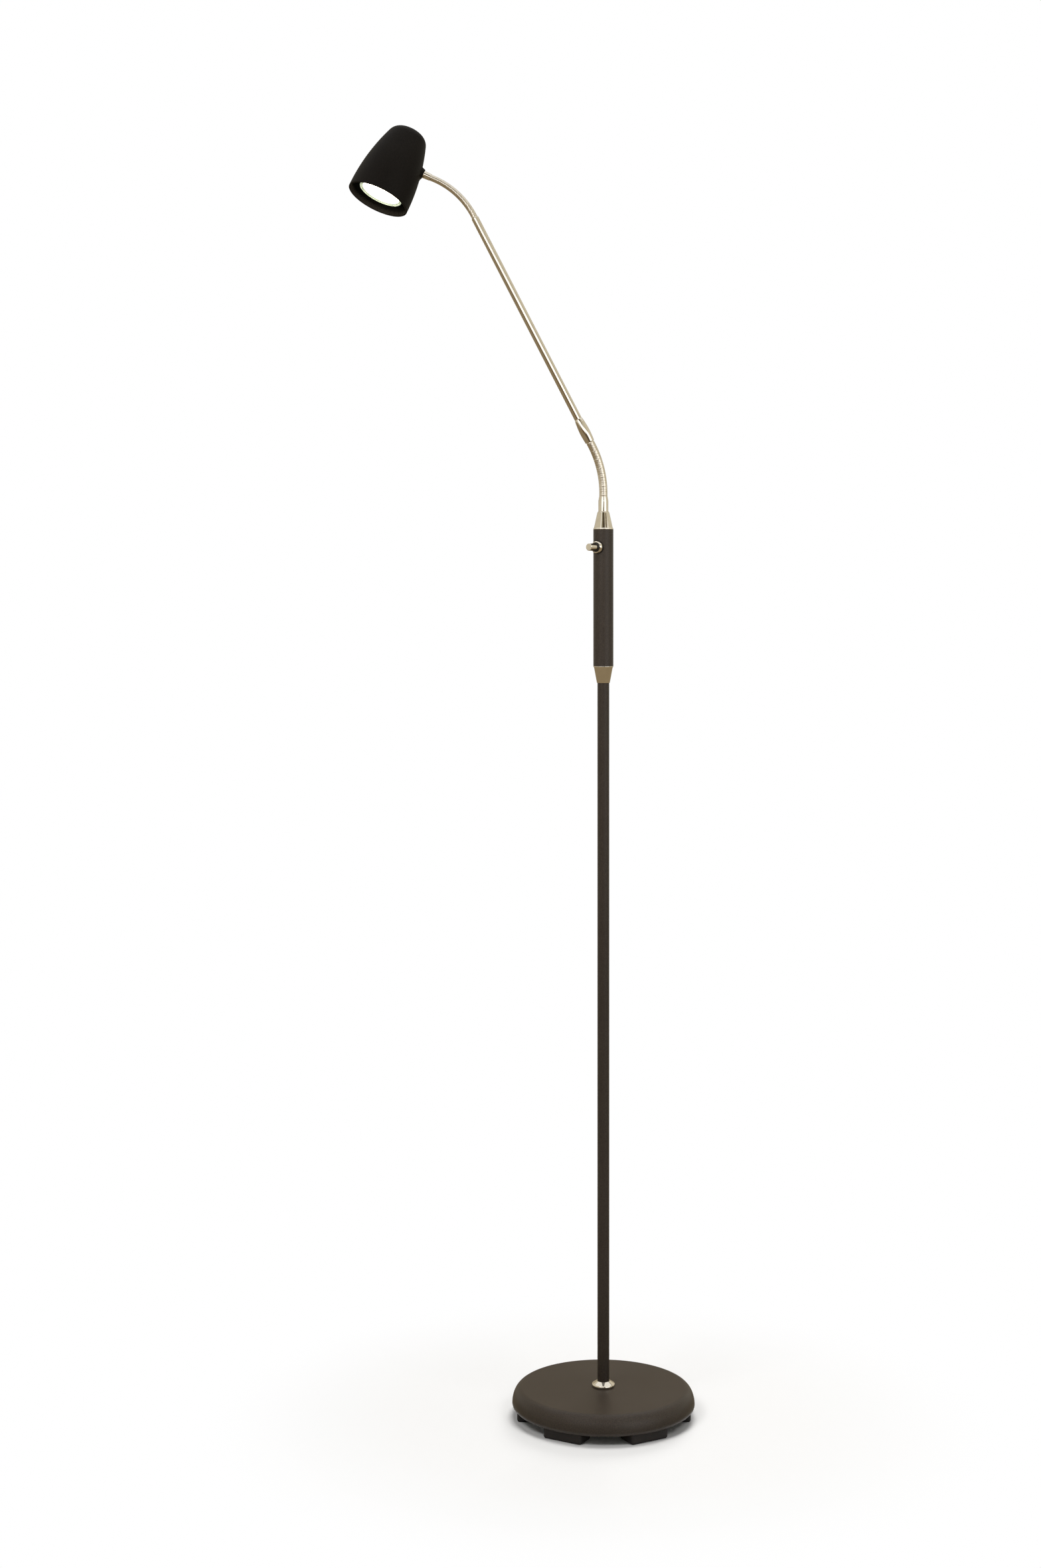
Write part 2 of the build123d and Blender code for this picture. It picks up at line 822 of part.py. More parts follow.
with BuildPart() as shade:
    with BuildSketch(side_of(head)):
        make_face(shade_section(0).edges())
    revolve(axis=axis_of(head))
    with BuildSketch(side_of(head)):
        make_face(shade_section(shade_wall).edges())
    revolve(axis=axis_of(head), mode=Mode.SUBTRACT)
    bore(head_across(boss_proud), boss_r + fit, boss_proud - boss_inner)
    bore(head_across(boss_proud), boss_flange_r + fit, boss_flange)
save(shade, "shade")

with BuildPart() as socket_bracket:
    with BuildSketch(side_of(head)):
        with BuildLine():
            Polyline(
                (boss_inner - strap_wall, strap_start),
                (boss_inner - strap_wall, strap_bend),
                (strap_end_x, strap_top),
                (strap_far_x, strap_top),
            )
            offset(amount=strap_wall, side=Side.RIGHT)
        make_face()
    extrude(amount=strap_width / 2, both=True)
    bore(head_across(boss_inner), head_stem_r + fit, strap_wall)
    with BuildSketch(head.offset(strap_top)):
        with GridLocations(2 * socket_screw_ring_r, 0, 2, 1):
            Circle(socket_screw_r + fit)
    extrude(amount=strap_wall, mode=Mode.SUBTRACT)
save(socket_bracket, "socket_bracket")

# ---- Bulb and socket ----
cap_start = bulb_recess + bulb_rim + bulb_bowl
cap_end = cap_start + cap_length
pin_ring_r = pin_spacing / 2

with BuildPart() as bulb_reflector:
    with BuildSketch(side_of(head)):
        with BuildLine():
            Line((0, bulb_recess), (bulb_r, bulb_recess))
            Line((bulb_r, bulb_recess), (bulb_r, bulb_recess + bulb_rim))
            RadiusArc((bulb_r, bulb_recess + bulb_rim), (bulb_neck_r, cap_start), -bulb_bowl_radius)
            Polyline((bulb_neck_r, cap_start), (0, cap_start), (0, bulb_recess))
        make_face()
    revolve(axis=axis_of(head))
    bore(head.offset(bulb_recess), lens_r + tight, lens_recess + lens_wall)
    with BuildSketch(side_of(head)):
        with BuildLine():
            cavity = bulb_recess + lens_recess + lens_wall
            Line((0, cavity), (lens_r - bulb_wall, cavity))
            RadiusArc(
                (lens_r - bulb_wall, cavity),
                (bulb_throat_r, cap_start - bulb_wall),
                -bulb_bowl_radius,
            )
            Polyline(
                (bulb_throat_r, cap_start - bulb_wall),
                (0, cap_start - bulb_wall),
                (0, cavity),
            )
        make_face()
    revolve(axis=axis_of(head), mode=Mode.SUBTRACT)
save(bulb_reflector, "bulb_reflector")

with BuildPart() as bulb_lens:
    with BuildSketch(head.offset(bulb_recess + lens_recess)):
        Circle(lens_r)
    extrude(amount=lens_wall)
save(bulb_lens, "bulb_lens")

with BuildPart() as bulb_cap:
    with BuildSketch(side_of(head)):
        with BuildLine():
            Polyline(
                (0, cap_start), (cap_r, cap_start), (cap_end_r, cap_end), (0, cap_end), close=True
            )
        make_face()
    revolve(axis=axis_of(head))
save(bulb_cap, "bulb_cap")

with BuildPart() as bulb_pins:
    with BuildSketch(head.offset(cap_end)):
        with PolarLocations(pin_ring_r, 2):
            Circle(pin_r)
    extrude(amount=pin_length)
    with BuildSketch(head.offset(cap_end + pin_length - pin_head)):
        with PolarLocations(pin_ring_r, 2):
            Circle(pin_head_r - fit)
    extrude(amount=pin_head)
save(bulb_pins, "bulb_pins")

socket_start = cap_end + air
with BuildPart() as bulb_socket:
    with BuildSketch(head.offset(socket_start)):
        Circle(socket_r)
    extrude(amount=strap_top - socket_start)
    with BuildSketch(head.offset(socket_start + socket_face)):
        Circle(socket_cavity_r)
    extrude(amount=socket_cavity, mode=Mode.SUBTRACT)
    with BuildSketch(head.offset(socket_start)):
        for start in (0, 180):
            SlotArc(CenterArc((0, 0), pin_ring_r, start, bulb_twist_angle), 2 * (pin_r + air))
        with PolarLocations(pin_ring_r, 2, start_angle=bulb_twist_angle):
            Circle(pin_head_r + air)
    extrude(amount=socket_face, mode=Mode.SUBTRACT)
    with BuildSketch(head.offset(strap_top - socket_screw_length + air)):
        with GridLocations(2 * socket_screw_ring_r, 0, 2, 1):
            Circle(socket_screw_r + fit)
    extrude(amount=socket_screw_length, mode=Mode.SUBTRACT)
save(bulb_socket, "bulb_socket")

with BuildPart() as socket_screws:
    with BuildSketch(head.offset(strap_top + strap_wall)):
        with GridLocations(2 * socket_screw_ring_r, 0, 2, 1):
            Circle(socket_screw_head_r)
    extrude(amount=socket_screw_head)
    with BuildSketch(head.offset(strap_top - socket_screw_length + 2 * air)):
        with GridLocations(2 * socket_screw_ring_r, 0, 2, 1):
            Circle(socket_screw_r)
    extrude(amount=socket_screw_length - air + strap_wall)
save(socket_screws, "socket_screws")

print("arm starts at", arm_start, "upper neck at", upper_start, "head at", head_start)
print("switch axis", switch.z_dir, "head axis", head.z_dir, "mouth", head.origin)
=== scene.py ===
import json
import math

import bmesh
import bpy
from mathutils import Matrix, Vector

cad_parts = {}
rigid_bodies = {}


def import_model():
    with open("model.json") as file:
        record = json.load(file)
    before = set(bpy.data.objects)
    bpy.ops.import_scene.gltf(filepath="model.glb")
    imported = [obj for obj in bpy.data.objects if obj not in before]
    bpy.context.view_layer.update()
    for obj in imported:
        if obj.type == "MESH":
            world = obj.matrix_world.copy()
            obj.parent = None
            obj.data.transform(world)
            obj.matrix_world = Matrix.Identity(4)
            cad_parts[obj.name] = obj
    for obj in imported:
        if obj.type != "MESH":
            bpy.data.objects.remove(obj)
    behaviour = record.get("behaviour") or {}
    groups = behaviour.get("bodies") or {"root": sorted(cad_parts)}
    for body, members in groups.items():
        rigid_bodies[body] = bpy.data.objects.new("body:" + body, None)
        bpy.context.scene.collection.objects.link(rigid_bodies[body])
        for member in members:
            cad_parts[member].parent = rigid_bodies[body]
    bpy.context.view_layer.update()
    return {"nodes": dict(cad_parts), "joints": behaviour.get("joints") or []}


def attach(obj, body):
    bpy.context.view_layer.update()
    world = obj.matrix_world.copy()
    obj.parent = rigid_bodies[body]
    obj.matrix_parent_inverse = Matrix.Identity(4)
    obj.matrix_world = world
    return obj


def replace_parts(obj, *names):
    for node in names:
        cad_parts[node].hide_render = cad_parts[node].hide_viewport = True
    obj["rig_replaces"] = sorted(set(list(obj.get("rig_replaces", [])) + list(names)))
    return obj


# Gooseneck reading floor lamp, dressed for its photograph. Z is up, the pole stands on the
# origin, the arm leans towards -X and the viewer is at -Y. Piece sizes are in millimetres,
# as on a drawing, and stage sizes in metres.

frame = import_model()
nodes = frame["nodes"]
joints = {joint["name"]: joint for joint in frame["joints"]}
scene = bpy.context.scene
mm = 0.001
print("frame loaded:", len(nodes), "nodes")

# finishes: what they share, then one dictionary for each
perMetre = 1000  # a pattern's scale is the number of its grains in a metre
noiseLow, noiseHigh = 0.3, 0.7  # nearly all of a noise's values lie between these
coatIor = 1.5
buffStrength = 0.12
pressedGlass = {"bump": 0.4, "dimpleDeepMm": 0.2, "roughness": 0.15, "ior": 1.5}


def toLinear(code):
    # sRGB hex to linear colour
    parts = [int(code[i : i + 2], 16) / 255 for i in (1, 3, 5)]
    return [p / 12.92 if p <= 0.04045 else ((p + 0.055) / 1.055) ** 2.4 for p in parts] + [1]


def addNode(tree, kind, settings=None, links=None, stops=None):
    # one node, its settings and values, what feeds its sockets, and a ramp's stops
    node = tree.nodes.new(kind)
    for key, value in (settings or {}).items():
        if isinstance(key, str) and hasattr(node, key):
            setattr(node, key, value)
        else:
            node.inputs[key].default_value = value
    for key, source in (links or {}).items():
        tree.links.new(source, node.inputs[key])
    if stops:
        ends = node.color_ramp.elements
        for element, (position, code) in zip((ends[0], ends[1]), (stops[0], stops[-1])):
            element.position = position
            element.color = toLinear(code)
        for position, code in stops[1:-1]:
            ends.new(position).color = toLinear(code)
    return node


def clearTree(owner):
    # an empty node tree for a material or the world
    owner.use_nodes = True
    owner.node_tree.nodes.clear()
    return owner.node_tree


def startFinish(name):
    finish = bpy.data.materials.new(name)
    tree = clearTree(finish)
    shader = addNode(tree, "ShaderNodeBsdfPrincipled")
    addNode(tree, "ShaderNodeOutputMaterial", None, {"Surface": shader.outputs[0]})
    place = addNode(tree, "ShaderNodeTexCoord").outputs["Object"]
    return finish, tree, shader, place


def grainCoat(name, looks):
    # a coat, casting or moulding: fine grain in colour, gloss and bump, over a slow cloud
    finish, tree, shader, place = startFinish(name)
    grain = addNode(
        tree,
        "ShaderNodeTexNoise",
        {"Scale": perMetre / looks["grainMm"], "Detail": 3.0, "Roughness": 0.6},
        {"Vector": place},
    ).outputs["Fac"]
    cloud = addNode(
        tree,
        "ShaderNodeTexNoise",
        {"Scale": perMetre / looks["cloudMm"], "Detail": 2.0},
        {"Vector": place},
    ).outputs["Fac"]
    tone = addNode(
        tree,
        "ShaderNodeValToRGB",
        None,
        {"Fac": grain},
        [(noiseLow, looks["dark"]), (0.5, looks["mid"]), (noiseHigh, looks["pale"])],
    )
    shift = addNode(
        tree,
        "ShaderNodeValToRGB",
        None,
        {"Fac": cloud},
        [(0.35, looks["cloud"]), (0.65, "#ffffff")],
    )
    colour = addNode(
        tree,
        "ShaderNodeMix",
        {"data_type": "RGBA", "blend_type": "MULTIPLY", 0: 1.0},
        {6: tone.outputs["Color"], 7: shift.outputs["Color"]},
    )
    gloss = addNode(
        tree,
        "ShaderNodeMapRange",
        {
            "From Min": noiseLow,
            "From Max": noiseHigh,
            "To Min": looks["gloss"][0],
            "To Max": looks["gloss"][1],
        },
        {"Value": grain},
    )
    bump = addNode(
        tree,
        "ShaderNodeBump",
        {"Strength": looks["bump"], "Distance": looks["bumpMm"] * mm},
        {"Height": grain},
    )
    tree.links.new(colour.outputs[2], shader.inputs["Base Color"])
    tree.links.new(gloss.outputs["Result"], shader.inputs["Roughness"])
    tree.links.new(bump.outputs["Normal"], shader.inputs["Normal"])
    shader.inputs["IOR"].default_value = coatIor
    shader.inputs["Specular IOR Level"].default_value = looks["sheen"]
    return finish


def brightPlate(name, looks):
    # metal: a tint, a faint polish haze and the tiny waves that the buffing wheel leaves
    finish, tree, shader, place = startFinish(name)
    haze = addNode(
        tree,
        "ShaderNodeTexNoise",
        {"Scale": perMetre / looks["hazeMm"], "Detail": 4.0},
        {"Vector": place},
    ).outputs["Fac"]
    tone = addNode(
        tree,
        "ShaderNodeValToRGB",
        None,
        {"Fac": haze},
        [(noiseLow, looks["dark"]), (noiseHigh, looks["pale"])],
    )
    gloss = addNode(
        tree,
        "ShaderNodeMapRange",
        {
            "From Min": noiseLow,
            "From Max": noiseHigh,
            "To Min": looks["gloss"][0],
            "To Max": looks["gloss"][1],
        },
        {"Value": haze},
    )
    bump = addNode(
        tree,
        "ShaderNodeBump",
        {"Strength": buffStrength, "Distance": looks["waveMm"] * mm},
        {"Height": haze},
    )
    tree.links.new(tone.outputs["Color"], shader.inputs["Base Color"])
    tree.links.new(gloss.outputs["Result"], shader.inputs["Roughness"])
    tree.links.new(bump.outputs["Normal"], shader.inputs["Normal"])
    shader.inputs["Metallic"].default_value = 1.0
    return finish


# Textured powder coat, sprayed and baked: warm near-black, with a grit of about 0.5 mm that
# catches the light as fine speckles. It is drawn at 0.9 mm, as coarse as the picture shows.
powderCoat = grainCoat(
    "texturedPowderCoat",
    {
        "grainMm": 0.9,
        "cloudMm": 70,
        "dark": "#2a241e",
        "mid": "#352d26",
        "pale": "#42392f",
        "cloud": "#f1eee9",
        "gloss": (0.36, 0.46),
        "sheen": 0.3,
        "bump": 0.3,
        "bumpMm": 0.1,
    },
)
# Soft-touch black lacquer on spun aluminium: deep and dull, with hardly any highlight.
softLacquer = grainCoat(
    "softTouchLacquer",
    {
        "grainMm": 1.0,
        "cloudMm": 45,
        "dark": "#0a0805",
        "mid": "#0f0c09",
        "pale": "#15110d",
        "cloud": "#dedad4",
        "gloss": (0.5, 0.62),
        "sheen": 0.08,
        "bump": 0.25,
        "bumpMm": 0.06,
    },
)
# Moulded rubber of the pads: brown-black and dull, with a slight bloom.
padRubber = grainCoat(
    "mouldedRubber",
    {
        "grainMm": 2.0,
        "cloudMm": 16,
        "dark": "#130e0b",
        "mid": "#1b1410",
        "pale": "#271e18",
        "cloud": "#cfc9c2",
        "gloss": (0.6, 0.75),
        "sheen": 0.35,
        "bump": 0.3,
        "bumpMm": 0.1,
    },
)
# Moulded black nylon of the switch and the inlet: fine spark-eroded grain, low gloss.
blackNylon = grainCoat(
    "mouldedNylon",
    {
        "grainMm": 0.8,
        "cloudMm": 15,
        "dark": "#100e0b",
        "mid": "#171411",
        "pale": "#201c18",
        "cloud": "#dedad4",
        "gloss": (0.38, 0.48),
        "sheen": 0.5,
        "bump": 0.2,
        "bumpMm": 0.04,
    },
)
# Glazed steatite of the lamp holder and the bulb's foot: off-white, a little glossy.
steatite = grainCoat(
    "glazedSteatite",
    {
        "grainMm": 1.5,
        "cloudMm": 12,
        "dark": "#d2cdc0",
        "mid": "#ded9cd",
        "pale": "#e8e4da",
        "cloud": "#efece4",
        "gloss": (0.3, 0.45),
        "sheen": 0.5,
        "bump": 0.15,
        "bumpMm": 0.05,
    },
)
# Sand-cast iron of the ballast: dark grey with a coarse, dull skin.
castIron = grainCoat(
    "sandCastIron",
    {
        "grainMm": 3.0,
        "cloudMm": 30,
        "dark": "#2c2b29",
        "mid": "#3b3a37",
        "pale": "#4d4b47",
        "cloud": "#cfcbc4",
        "gloss": (0.6, 0.8),
        "sheen": 0.5,
        "bump": 0.6,
        "bumpMm": 0.3,
    },
)
# Nickel-chrome plating over polished steel: a clear, slightly warm mirror.
chromePlate = brightPlate(
    "polishedChromePlate",
    {"hazeMm": 7, "waveMm": 0.01, "dark": "#ddd5c6", "pale": "#e5decf", "gloss": (0.05, 0.09)},
)
# The same plating on the wound hose, scuffed a little where the turns rub.
hosePlate = brightPlate(
    "woundHosePlate",
    {"hazeMm": 4, "waveMm": 0.01, "dark": "#d2c9b8", "pale": "#e0d8c9", "gloss": (0.2, 0.28)},
)
# Zinc-plated pressed steel of the hidden plate, screws and nuts: dull blue-grey.
zincPlate = brightPlate(
    "zincPlatedSteel",
    {"hazeMm": 6, "waveMm": 0.05, "dark": "#8e8f8c", "pale": "#a9aaa6", "gloss": (0.3, 0.45)},
)
# Turned brass of the bulb's pins: yellow, with a satin cut.
turnedBrass = brightPlate(
    "turnedBrass",
    {"hazeMm": 3, "waveMm": 0.03, "dark": "#a58a4c", "pale": "#c9ad6a", "gloss": (0.2, 0.32)},
)


def litGlass(name, looks):
    # pressed glass with the lamp alight behind it: stippled, and glowing by itself
    finish, tree, shader, place = startFinish(name)
    stipple = addNode(
        tree, "ShaderNodeTexVoronoi", {"Scale": perMetre / looks["dimpleMm"]}, {"Vector": place}
    ).outputs["Distance"]
    glow = addNode(
        tree,
        "ShaderNodeValToRGB",
        None,
        {"Fac": stipple},
        [(0.0, looks["pale"]), (0.9, looks["dark"])],
    )
    bump = addNode(
        tree,
        "ShaderNodeBump",
        {"Strength": pressedGlass["bump"], "Distance": pressedGlass["dimpleDeepMm"] * mm},
        {"Height": stipple},
    )
    tree.links.new(glow.outputs["Color"], shader.inputs["Base Color"])
    tree.links.new(glow.outputs["Color"], shader.inputs["Emission Color"])
    tree.links.new(bump.outputs["Normal"], shader.inputs["Normal"])
    shader.inputs["Emission Strength"].default_value = looks["strength"]
    shader.inputs["Roughness"].default_value = pressedGlass["roughness"]
    shader.inputs["IOR"].default_value = pressedGlass["ior"]
    return finish


# Stippled lens of the lit halogen bulb: warm white, bright enough to light the shade's lip.
litLens = litGlass(
    "litStippledGlass", {"dimpleMm": 2.5, "pale": "#fff8e8", "dark": "#ffeccb", "strength": 8.0}
)
# Plain glass outside the stipple, on the lens's ring and the bulb's bowl: a dim pale green-grey
# glow. It is partly real, the lit bulb's light coming through where the glass is thick, and
# partly painted light that stands in for the lamp's light reflected on the ring and the bowl's
# rim.
dimLens = litGlass(
    "litPlainGlass", {"dimpleMm": 5.0, "pale": "#c3cbb5", "dark": "#a3ad96", "strength": 0.45}
)
print("finishes made:", len(bpy.data.materials))

# shaping: what the pieces share
mergeDist = 1e-7  # metres
creaseAngle = 40  # degrees


def drawOutline(shape, start, moves):
    # half section in the XZ plane, in mm: "to" has a point, "arc" its centre, degrees and steps
    tip = shape.verts.new((start[0] * mm, 0, start[1] * mm))
    for kind, across, up, *turn in moves:
        if kind == "to":
            tip = bmesh.ops.extrude_vert_indiv(shape, verts=[tip])["verts"][0]
            tip.co = (across * mm, 0, up * mm)
        else:
            swept = bmesh.ops.spin(
                shape,
                geom=[tip],
                cent=(across * mm, 0, up * mm),
                axis=(0, -1, 0),
                angle=math.radians(turn[0]),
                steps=turn[1],
            )
            tip = [v for v in swept["geom_last"] if isinstance(v, bmesh.types.BMVert)][0]
    bmesh.ops.remove_doubles(shape, verts=shape.verts, dist=mergeDist)


def swingShape(shape, degrees, steps):
    # sweeps a line about Z, and joins it where it comes round to its start
    bmesh.ops.spin(
        shape,
        geom=shape.verts[:] + shape.edges[:],
        cent=(0, 0, 0),
        axis=(0, 0, 1),
        angle=math.radians(degrees),
        steps=steps,
        use_merge=degrees == 360,
    )


def spinOutline(shape, steps):
    # a full turn, closed, with the faces outwards
    swingShape(shape, 360, steps)
    bmesh.ops.remove_doubles(shape, verts=shape.verts, dist=mergeDist)
    bmesh.ops.recalc_face_normals(shape, faces=shape.faces)


def turnedShape(start, moves, steps=96):
    # a half section turned about Z
    shape = bmesh.new()
    drawOutline(shape, start, moves)
    spinOutline(shape, steps)
    return shape


def breakEdges(shape, width, segments=3, sharp=30):
    # rounds the edges that turn by more than sharp degrees
    edges = [
        edge
        for edge in shape.edges
        if edge.is_manifold and edge.calc_face_angle() > math.radians(sharp)
    ]
    bmesh.ops.bevel(
        shape,
        geom=edges,
        offset=width * mm,
        offset_type="OFFSET",
        segments=segments,
        profile=0.5,
        affect="EDGES",
        material=-1,
        clamp_overlap=True,
    )


def addThing(name, shape, finish=None):
    # a finished bmesh becomes an object in the scene
    mesh = bpy.data.meshes.new(name)
    shape.to_mesh(mesh)
    shape.free()
    if finish:
        mesh.materials.append(finish)
    thing = bpy.data.objects.new(name, mesh)
    scene.collection.objects.link(thing)
    return thing


def placePiece(name, shape, place, finish, body, slotName, *replaced):
    # puts a shape in its place, smooths it and says what it rides on and replaces
    bmesh.ops.transform(shape, matrix=place, verts=shape.verts)
    piece = addThing(name, shape, finish)
    piece.data.shade_smooth()
    piece.data.set_sharp_from_angle(angle=math.radians(creaseAngle))
    evened = piece.modifiers.new("evenedNormals", "WEIGHTED_NORMAL")
    evened.keep_sharp = True
    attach(piece, body)
    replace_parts(piece, *replaced)
    return piece


def cutPiece(piece, cutter, place):
    # takes the cutter's shape out of a piece, then throws the cutter away
    bmesh.ops.transform(cutter, matrix=place, verts=cutter.verts)
    tool = addThing("cutter", cutter)
    cut = piece.modifiers.new("cut", "BOOLEAN")
    cut.operation = "DIFFERENCE"
    cut.solver = "EXACT"
    cut.object = tool
    piece.modifiers.move(len(piece.modifiers) - 1, 0)
    bpy.context.view_layer.update()
    seen = piece.evaluated_get(bpy.context.evaluated_depsgraph_get())
    piece.data = bpy.data.meshes.new_from_object(seen)
    piece.modifiers.remove(cut)
    bpy.data.objects.remove(tool)


def placeAlong(origin, direction, across):
    # frame with Z along the direction and X as near to across as can be
    up = Vector(direction).normalized()
    side = (Vector(across) - up * Vector(across).dot(up)).normalized()
    turn = Matrix((side, up.cross(side), up)).transposed().to_4x4()
    return Matrix.Translation(Vector(origin)) @ turn


def placeLeaned(origin, degrees):
    # frame whose Z leans from upright towards -X
    lean = math.radians(degrees)
    return placeAlong(
        origin, (-math.sin(lean), 0, math.cos(lean)), (math.cos(lean), 0, math.sin(lean))
    )


upright = Matrix()

# base cover: a pressed shell, flat on top, with a full round rim that turns in to a lip
base = {
    "r": 100.0,
    "widestZ": 14.5,
    "flatR": 89.0,
    "topZ": 32.2,
    "lipR": 97.0,
    "lipZ": 10.8,
    "lipOut": (1.4, 0.7),  # the lip's roll, out and up from its edge
    "lipUp": (-0.5, 1.9),  # and in from the widest radius and up
    "innerFlat": (6.2, -3.1),  # the wall's inner side, out and down from the flat
    "innerRim": (-0.4, 5.0),
    "wall": 1.5,
    "inletZ": 18.8,
    "inletR": 4.5,
    "inletDrill": 14.0,
}
innerTopZ = base["topZ"] - base["wall"]
innerR = base["r"] - base["wall"]
shape = bmesh.new()
drawOutline(
    shape,
    (base["lipR"] - base["wall"], base["lipZ"]),
    [
        ("to", base["lipR"], base["lipZ"]),
        ("to", base["lipR"] + base["lipOut"][0], base["lipZ"] + base["lipOut"][1]),
        ("to", base["r"] + base["lipUp"][0], base["lipZ"] + base["lipUp"][1]),
        ("to", base["r"], base["widestZ"]),
        ("arc", base["flatR"], base["widestZ"], 90, 24),
    ],
)
# the rim's arc is a quarter ellipse, so its upper half is stretched from a quarter circle
rimStretch = (base["topZ"] - base["widestZ"]) / (base["r"] - base["flatR"])
for vert in shape.verts:
    if vert.co.z > base["widestZ"] * mm:
        vert.co.z = base["widestZ"] * mm + (vert.co.z - base["widestZ"] * mm) * rimStretch
tip = max(shape.verts, key=lambda vert: (round(vert.co.z, 6), -vert.co.x))
for across, up in (
    (0, base["topZ"]),
    (0, innerTopZ),
    (base["flatR"], innerTopZ),
    (base["flatR"] + base["innerFlat"][0], innerTopZ + base["innerFlat"][1]),
    (innerR + base["innerRim"][0], base["widestZ"] + base["innerRim"][1]),
    (innerR, base["widestZ"]),
    (base["lipR"] - base["wall"], base["lipZ"]),
):
    tip = bmesh.ops.extrude_vert_indiv(shape, verts=[tip])["verts"][0]
    tip.co = (across * mm, 0, up * mm)
bmesh.ops.remove_doubles(shape, verts=shape.verts, dist=mergeDist)
spinOutline(shape, steps=192)
baseCover = placePiece(
    "baseCover", shape, upright, powderCoat, "stand", "black_coat", "base_cover"
)
drill = bmesh.new()
bmesh.ops.create_cone(
    drill,
    cap_ends=True,
    segments=48,
    radius1=base["inletR"] * mm,
    radius2=base["inletR"] * mm,
    depth=base["inletDrill"] * mm,
)
cutPiece(
    baseCover,
    drill,
    placeAlong((0, base["r"] * mm, base["inletZ"] * mm), (0, 1, 0), (1, 0, 0)),
)

# collar: a split ring with a coned top and a slightly barrelled rim
collar = {
    "boreR": 6.56,
    "r": 12.8,
    "barrel": (  # in from the radius and up from the base
        (0.7, 0.0),
        (0.2, 0.9),
        (0.0, 1.8),
        (0.06, 2.4),
        (0.26, 3.0),
        (0.5, 3.4),
        (0.85, 3.75),
    ),
    "height": 6.5,
    "topR": 7.3,
    "slit": (0.5, 8.0, 12.0),  # across, deep and high
    "slitOut": 10.6,  # its middle, out from the axis and up from the base
    "slitUp": 4.0,
    "slitAt": 48.0,  # degrees from the viewer's side
}
shape = turnedShape(
    (collar["boreR"], base["topZ"]),
    [
        *[("to", collar["r"] - inward, base["topZ"] + up) for inward, up in collar["barrel"]],
        ("to", collar["topR"], base["topZ"] + collar["height"]),
        ("to", collar["boreR"], base["topZ"] + collar["height"]),
        ("to", collar["boreR"], base["topZ"]),
    ],
    steps=120,
)
breakEdges(shape, width=0.25)
poleCollar = placePiece(
    "poleCollar", shape, upright, chromePlate, "stand", "chrome", "base_collar"
)
slitCutter = bmesh.new()
bmesh.ops.create_cube(slitCutter, size=mm)
bmesh.ops.scale(slitCutter, vec=collar["slit"], verts=slitCutter.verts)
bmesh.ops.translate(slitCutter, vec=(0, -collar["slitOut"] * mm, 0), verts=slitCutter.verts)
cutPiece(
    poleCollar,
    slitCutter,
    Matrix.Translation((0, 0, (base["topZ"] + collar["slitUp"]) * mm))
    @ Matrix.Rotation(math.radians(collar["slitAt"]), 4, "Z"),
)
print("base made")

# pole and grip, with a chrome cone at each end of the grip
pole = {"r": 6.5, "coneZ": 804.3, "gripZ": 822.8}
shape = turnedShape(
    (0, base["topZ"]),
    [
        ("to", pole["r"], base["topZ"]),
        ("to", pole["r"], pole["gripZ"]),
        ("to", 0, pole["gripZ"]),
    ],
)
placePiece("poleTube", shape, upright, powderCoat, "stand", "black_coat", "pole_tube")

lowerCone = {"boreR": 6.56, "endR": 7.1, "shoulderR": 10.3, "lipR": 11.0, "lip": 1.6}
shape = turnedShape(
    (lowerCone["boreR"], pole["coneZ"]),
    [
        ("to", lowerCone["endR"], pole["coneZ"]),
        ("to", lowerCone["shoulderR"], pole["gripZ"] - lowerCone["lip"]),
        ("to", lowerCone["lipR"], pole["gripZ"] - lowerCone["lip"] / 2),
        ("to", lowerCone["lipR"], pole["gripZ"]),
        ("to", lowerCone["boreR"], pole["gripZ"]),
        ("to", lowerCone["boreR"], pole["coneZ"]),
    ],
)
breakEdges(shape, width=0.25, sharp=20)
placePiece("lowerCone", shape, upright, chromePlate, "stand", "chrome", "lower_cone")

grip = {"r": 11.0, "wall": 1.2, "length": 150.0}
gripTop = pole["gripZ"] + grip["length"]
shape = turnedShape(
    (grip["r"] - grip["wall"], pole["gripZ"]),
    [
        ("to", grip["r"], pole["gripZ"]),
        ("to", grip["r"], gripTop),
        ("to", grip["r"] - grip["wall"], gripTop),
        ("to", grip["r"] - grip["wall"], pole["gripZ"]),
    ],
)
breakEdges(shape, width=0.25)
placePiece("gripTube", shape, upright, powderCoat, "stand", "black_coat", "grip_tube")

upperCone = {"shoulderR": 10.3, "lip": 1.6, "endR": 6.7, "mouthR": 5.9, "length": 19.6}
coneTop = gripTop + upperCone["length"]
shape = turnedShape(
    (0, gripTop),
    [
        ("to", grip["r"], gripTop),
        ("to", grip["r"], gripTop + upperCone["lip"] / 2),
        ("to", upperCone["shoulderR"], gripTop + upperCone["lip"]),
        ("to", upperCone["endR"], coneTop - upperCone["lip"]),
        ("to", upperCone["mouthR"], coneTop),
        ("to", 0, coneTop),
    ],
)
breakEdges(shape, width=0.25, sharp=20)
placePiece("upperCone", shape, upright, chromePlate, "stand", "chrome", "upper_cone")

ferrule = {"r": 5.5, "length": 16.4, "mouthR": 4.7, "taper": 5.0}
shape = turnedShape(
    (0, coneTop),
    [
        ("to", ferrule["r"], coneTop),
        ("to", ferrule["r"], coneTop + ferrule["length"] - ferrule["taper"]),
        ("to", ferrule["mouthR"], coneTop + ferrule["length"]),
        ("to", 0, coneTop + ferrule["length"]),
    ],
)
breakEdges(shape, width=0.3, sharp=8)
placePiece("neckFerrule", shape, upright, chromePlate, "stand", "chrome", "neck_ferrule")

